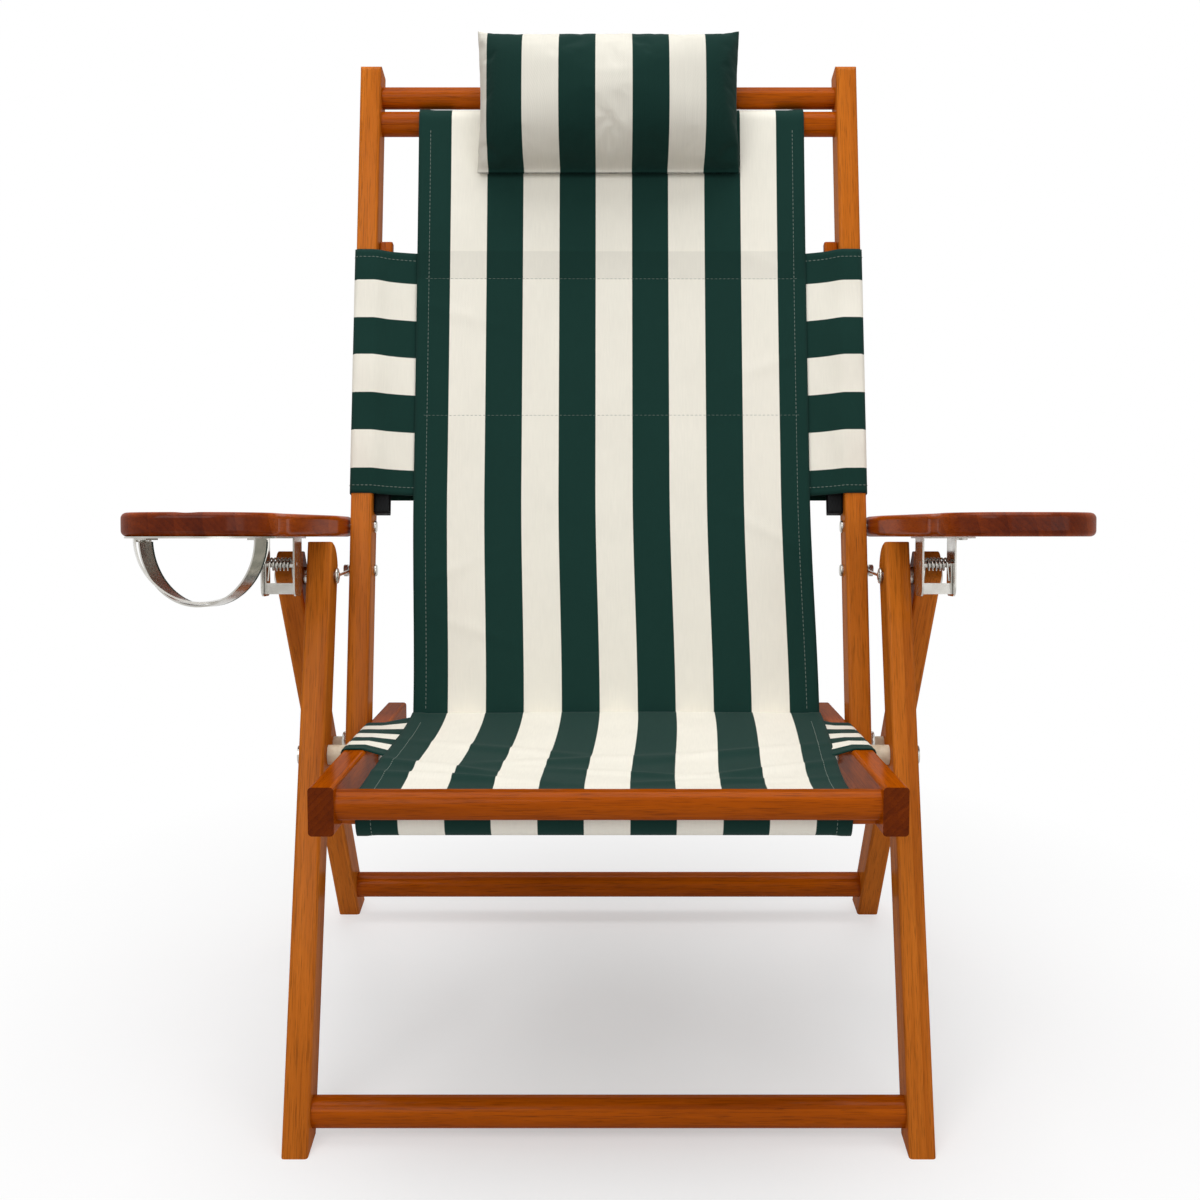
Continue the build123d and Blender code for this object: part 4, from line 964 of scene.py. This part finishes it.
# %% Pillow: the stuffing
PILLOW_FRAMES = 20
PILLOW_MOVE = 10 * MM
PILLOW_SLACK = 0.018
STUFFING = {
    "quality": 7, "mass": 0.25, "tension_stiffness": 20, "compression_stiffness": 20,
    "shear_stiffness": 8, "bending_stiffness": 1.0, "shrink_min": -PILLOW_SLACK,
    "use_pressure": True, "uniform_pressure_force": 5.0,
}
# The pillow's canvas is the sling's canvas drawn at 0.82 of its brightness, as painted shade.
pillow_canvas = canvas(
    "pillow_canvas", pitch=36.1 * MM, middle=5.3 * MM, sewn_up=True, dim=0.82, sheen=0.02)


def stuffed(points, quads, held):
    """The cover as Blender's cloth settles it: pressure inside, no gravity, back and seams held."""
    cover = new_piece("pillow_cover", points, quads.tolist(), pillow_canvas)
    cover.vertex_groups.new(name="held").add(np.flatnonzero(held).tolist(), 1.0, "REPLACE")
    cloth = cover.modifiers.new("stuffing", "CLOTH")
    cloth.settings.vertex_group_mass = "held"
    for name, value in STUFFING.items():
        setattr(cloth.settings, name, value)
    cloth.settings.effector_weights.gravity = 0
    cloth.collision_settings.use_collision = False
    for step in range(1, PILLOW_FRAMES + 1):
        scene.frame_set(step)
    shaped = cover.evaluated_get(bpy.context.evaluated_depsgraph_get()).data
    out = np.empty(len(points) * 3, np.float32)
    shaped.vertices.foreach_get("co", out)
    bpy.data.objects.remove(cover)
    scene.frame_set(1)
    return out.reshape(-1, 3).astype(float)


move = stuffed(pillow_points, pillow_quads, pillow_held) - pillow_points
size = np.linalg.norm(move, axis=1, keepdims=True)
pillow_points = pillow_points + move * np.minimum(1, PILLOW_MOVE / np.maximum(size, 1e-9))
print("pillow settled by up to", size.max().round(4))
pillow = new_piece("pillow_cloth", pillow_points, pillow_quads.tolist(), pillow_canvas)
finer = pillow.modifiers.new("finer", "SUBSURF")
finer.levels = finer.render_levels = 1
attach(pillow, "back_frame")
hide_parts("pillow")
pillow_off = (pillow_points[:, 1:] - BACK[0]) @ BACK[2]
print("pillow box", np.ptp(pillow_points, axis=0).round(3), "thickness", np.ptp(pillow_off).round(3))

# %% [markdown]
# The pillow hangs on two loops of black webbing round the top dowel, and two short tabs of the same
# webbing hold the feet of the pocket's battens. Both are ribbons: a path carried across its own width.

# %% Webbing
LOOP_WIDE, LOOP_APART = 30 * MM, 150 * MM
LOOP_CLEAR, LOOP_UNDER = 0.9 * MM, 0.6 * MM
LOOP_HEAD, LOOP_FOOT = 4 * MM, 14 * MM
TAB_WIDE, TAB_LAP = 14 * MM, 14 * MM
TAB_CLEAR, TAB_ROUND = 1.4 * MM, 2 * MM
BATTEN_FOOT, BATTEN_HALF = 224.6 * MM, 6 * MM


def ribbon(name, path, middle, wide, step, columns, thick):
    """Webbing along a side-view path of the back, carried across its width round a middle; and its length."""
    run, length = even_path(path, step)
    x = np.linspace(-wide / 2, wide / 2, columns) + middle
    points = on_line(BACK, x[None, :], run[:, :1], run[:, 1:])
    piece = cloth_piece(name, points, grid_uv(x[None, :], length[:, None]), webbing, thick)
    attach(piece, "back_frame")
    return piece, length[-1]


top_dowel, top_radius = dowel_of("top_dowel", BACK)
loop_off = PILLOW_REST - LOOP_UNDER
loop_path = np.concatenate([
    [[top_dowel[0] + LOOP_HEAD, loop_off]],
    arc(top_dowel, top_radius + LOOP_CLEAR, 50, -230, 40),
    [[top_dowel[0] - LOOP_FOOT, loop_off]],
])
for number, side in enumerate((-1, 1)):
    loop, loop_long = ribbon("pillow_loop_%d" % number, loop_path, side * LOOP_APART / 2, LOOP_WIDE,
                             step=1.5 * MM, columns=9, thick=1.2 * MM)
    as_sheet(loop, "pillow_straps", LOOP_WIDE, loop_long)

tab_off = BATTEN_HALF + TAB_CLEAR
tab_path = np.concatenate([
    [[POCKET_FROM + TAB_LAP, tab_off]],
    arc((BATTEN_FOOT, tab_off - TAB_ROUND), TAB_ROUND, 90, 180, 8),
    arc((BATTEN_FOOT, TAB_ROUND - tab_off), TAB_ROUND, 180, 270, 8),
    [[POCKET_FROM + TAB_LAP, -tab_off]],
])
tab_low, tab_high = (corner[0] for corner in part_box("strap_tabs"))
for number, middle in enumerate((tab_low + TAB_WIDE / 2, tab_high - TAB_WIDE / 2)):
    tab, tab_long = ribbon("strap_tab_%d" % number, tab_path, middle, TAB_WIDE,
                           step=1.2 * MM, columns=7, thick=0.9 * MM)
    as_sheet(tab, "strap_tabs", TAB_WIDE, tab_long)

# %% [markdown]
# The chair stands on a white sweep. The floor and the world look white to the camera and in reflections,
# while the light that falls on the chair stays at a plain level. Near the chair the floor keeps some of its
# own grey, so that a pale shadow shows there, and further off it fades to white.

# %% Floor and world
FLOOR_HALF = 14.0
FLOOR_GREY, BLACK, WHITE = (0.8, 0.8, 0.805, 1), (0, 0, 0, 1), (1, 1, 1, 1)
FLOOR_LIFT, WORLD_LIGHT = 0.24, 0.3
FLOOR_FADE = 0.05, 0.8


def seen_rays(tree):
    """1 for what is seen, straight or mirrored, and 0 for light that falls on things."""
    rays = put(tree, "LightPath").outputs
    return sums(tree, "MAXIMUM", rays["Is Camera Ray"], rays["Is Glossy Ray"])


paper, tree, shader = new_material(
    "white_floor", Roughness=0.7, Specular_IOR_Level=0.0, Emission_Strength=1.0)
seen = seen_rays(tree)
place = put(tree, "TexCoord").outputs["Object"]
away = put(tree, "VectorMath", {0: place}, operation="LENGTH").outputs["Value"]
far = sums(tree, "MULTIPLY", spread(tree, away, *FLOOR_FADE), seen)
lift = sums(tree, "MULTIPLY", seen, spread(tree, far, 0, 1, FLOOR_LIFT, 1.0))
feed(tree, shader.inputs["Base Color"], mixed(tree, far, FLOOR_GREY, BLACK))
feed(tree, shader.inputs["Emission Color"], grey(tree, lift))
floor_corners = FLOOR_HALF * np.array([(-1, -1, 0), (1, -1, 0), (1, 1, 0), (-1, 1, 0)])
floor = new_piece("floor", floor_corners, [(0, 1, 2, 3)], paper, smooth=False)

world = bpy.data.worlds.new("studio")
scene.world = world
world.use_nodes = True
tree = world.node_tree
background = tree.nodes["Background"]
background.inputs["Color"].default_value = WHITE
feed(tree, background.inputs["Strength"], spread(tree, seen_rays(tree), 0, 1, WORLD_LIGHT, 1.0))
print("floor", 2 * FLOOR_HALF, "m wide")

# %% [markdown]
# Three large lamps light it softly: one in front on the left, a weaker one in front on the right, and one
# above. The camera's pitch and place were solved from the straight lines of legs, seat and uprights, and
# its shift sets the chair as far off the middle as it stands in the photo.

# %% Lamps and camera
CAMERA_PITCH = math.radians(14.23)
CAMERA_AT = 0, -1.4418, 0.799
LENS_MM, SENSOR_MM = 48, 36
PHOTO_PIXELS, CHAIR_MIDDLE_PIXEL = 1200, 608.5


def lamp(name, place, aim, size, power):
    """A square soft lamp at a place, turned to face a point."""
    light = bpy.data.lights.new(name, "AREA")
    light.size = size
    light.energy = power
    holder = in_scene(name, light)
    way = np.array(aim) - np.array(place)
    flat = math.hypot(way[0], way[1])
    holder.rotation_euler = (math.atan2(flat, -way[2]), 0, math.atan2(-way[0], way[1]))
    holder.location = place


lamp("key", (-1.1, -2.3, 2.4), aim=(0, 0, 0.5), size=1.8, power=28)
lamp("fill", (1.7, -2.2, 1.5), aim=(0, 0, 0.5), size=1.8, power=14)
lamp("top", (0.0, 0.1, 2.7), aim=(0, 0, 0.4), size=2.0, power=37)

camera_data = bpy.data.cameras.new("camera")
camera_data.lens = LENS_MM
camera_data.sensor_width = SENSOR_MM
camera_data.shift_x = (PHOTO_PIXELS / 2 - CHAIR_MIDDLE_PIXEL) / PHOTO_PIXELS
camera = in_scene("camera", camera_data)
camera.location = CAMERA_AT
camera.rotation_euler = (math.pi / 2 - CAMERA_PITCH, 0, 0)
scene.camera = camera
scene.view_settings.view_transform = "Standard"
print("camera shift", round(camera_data.shift_x, 4))
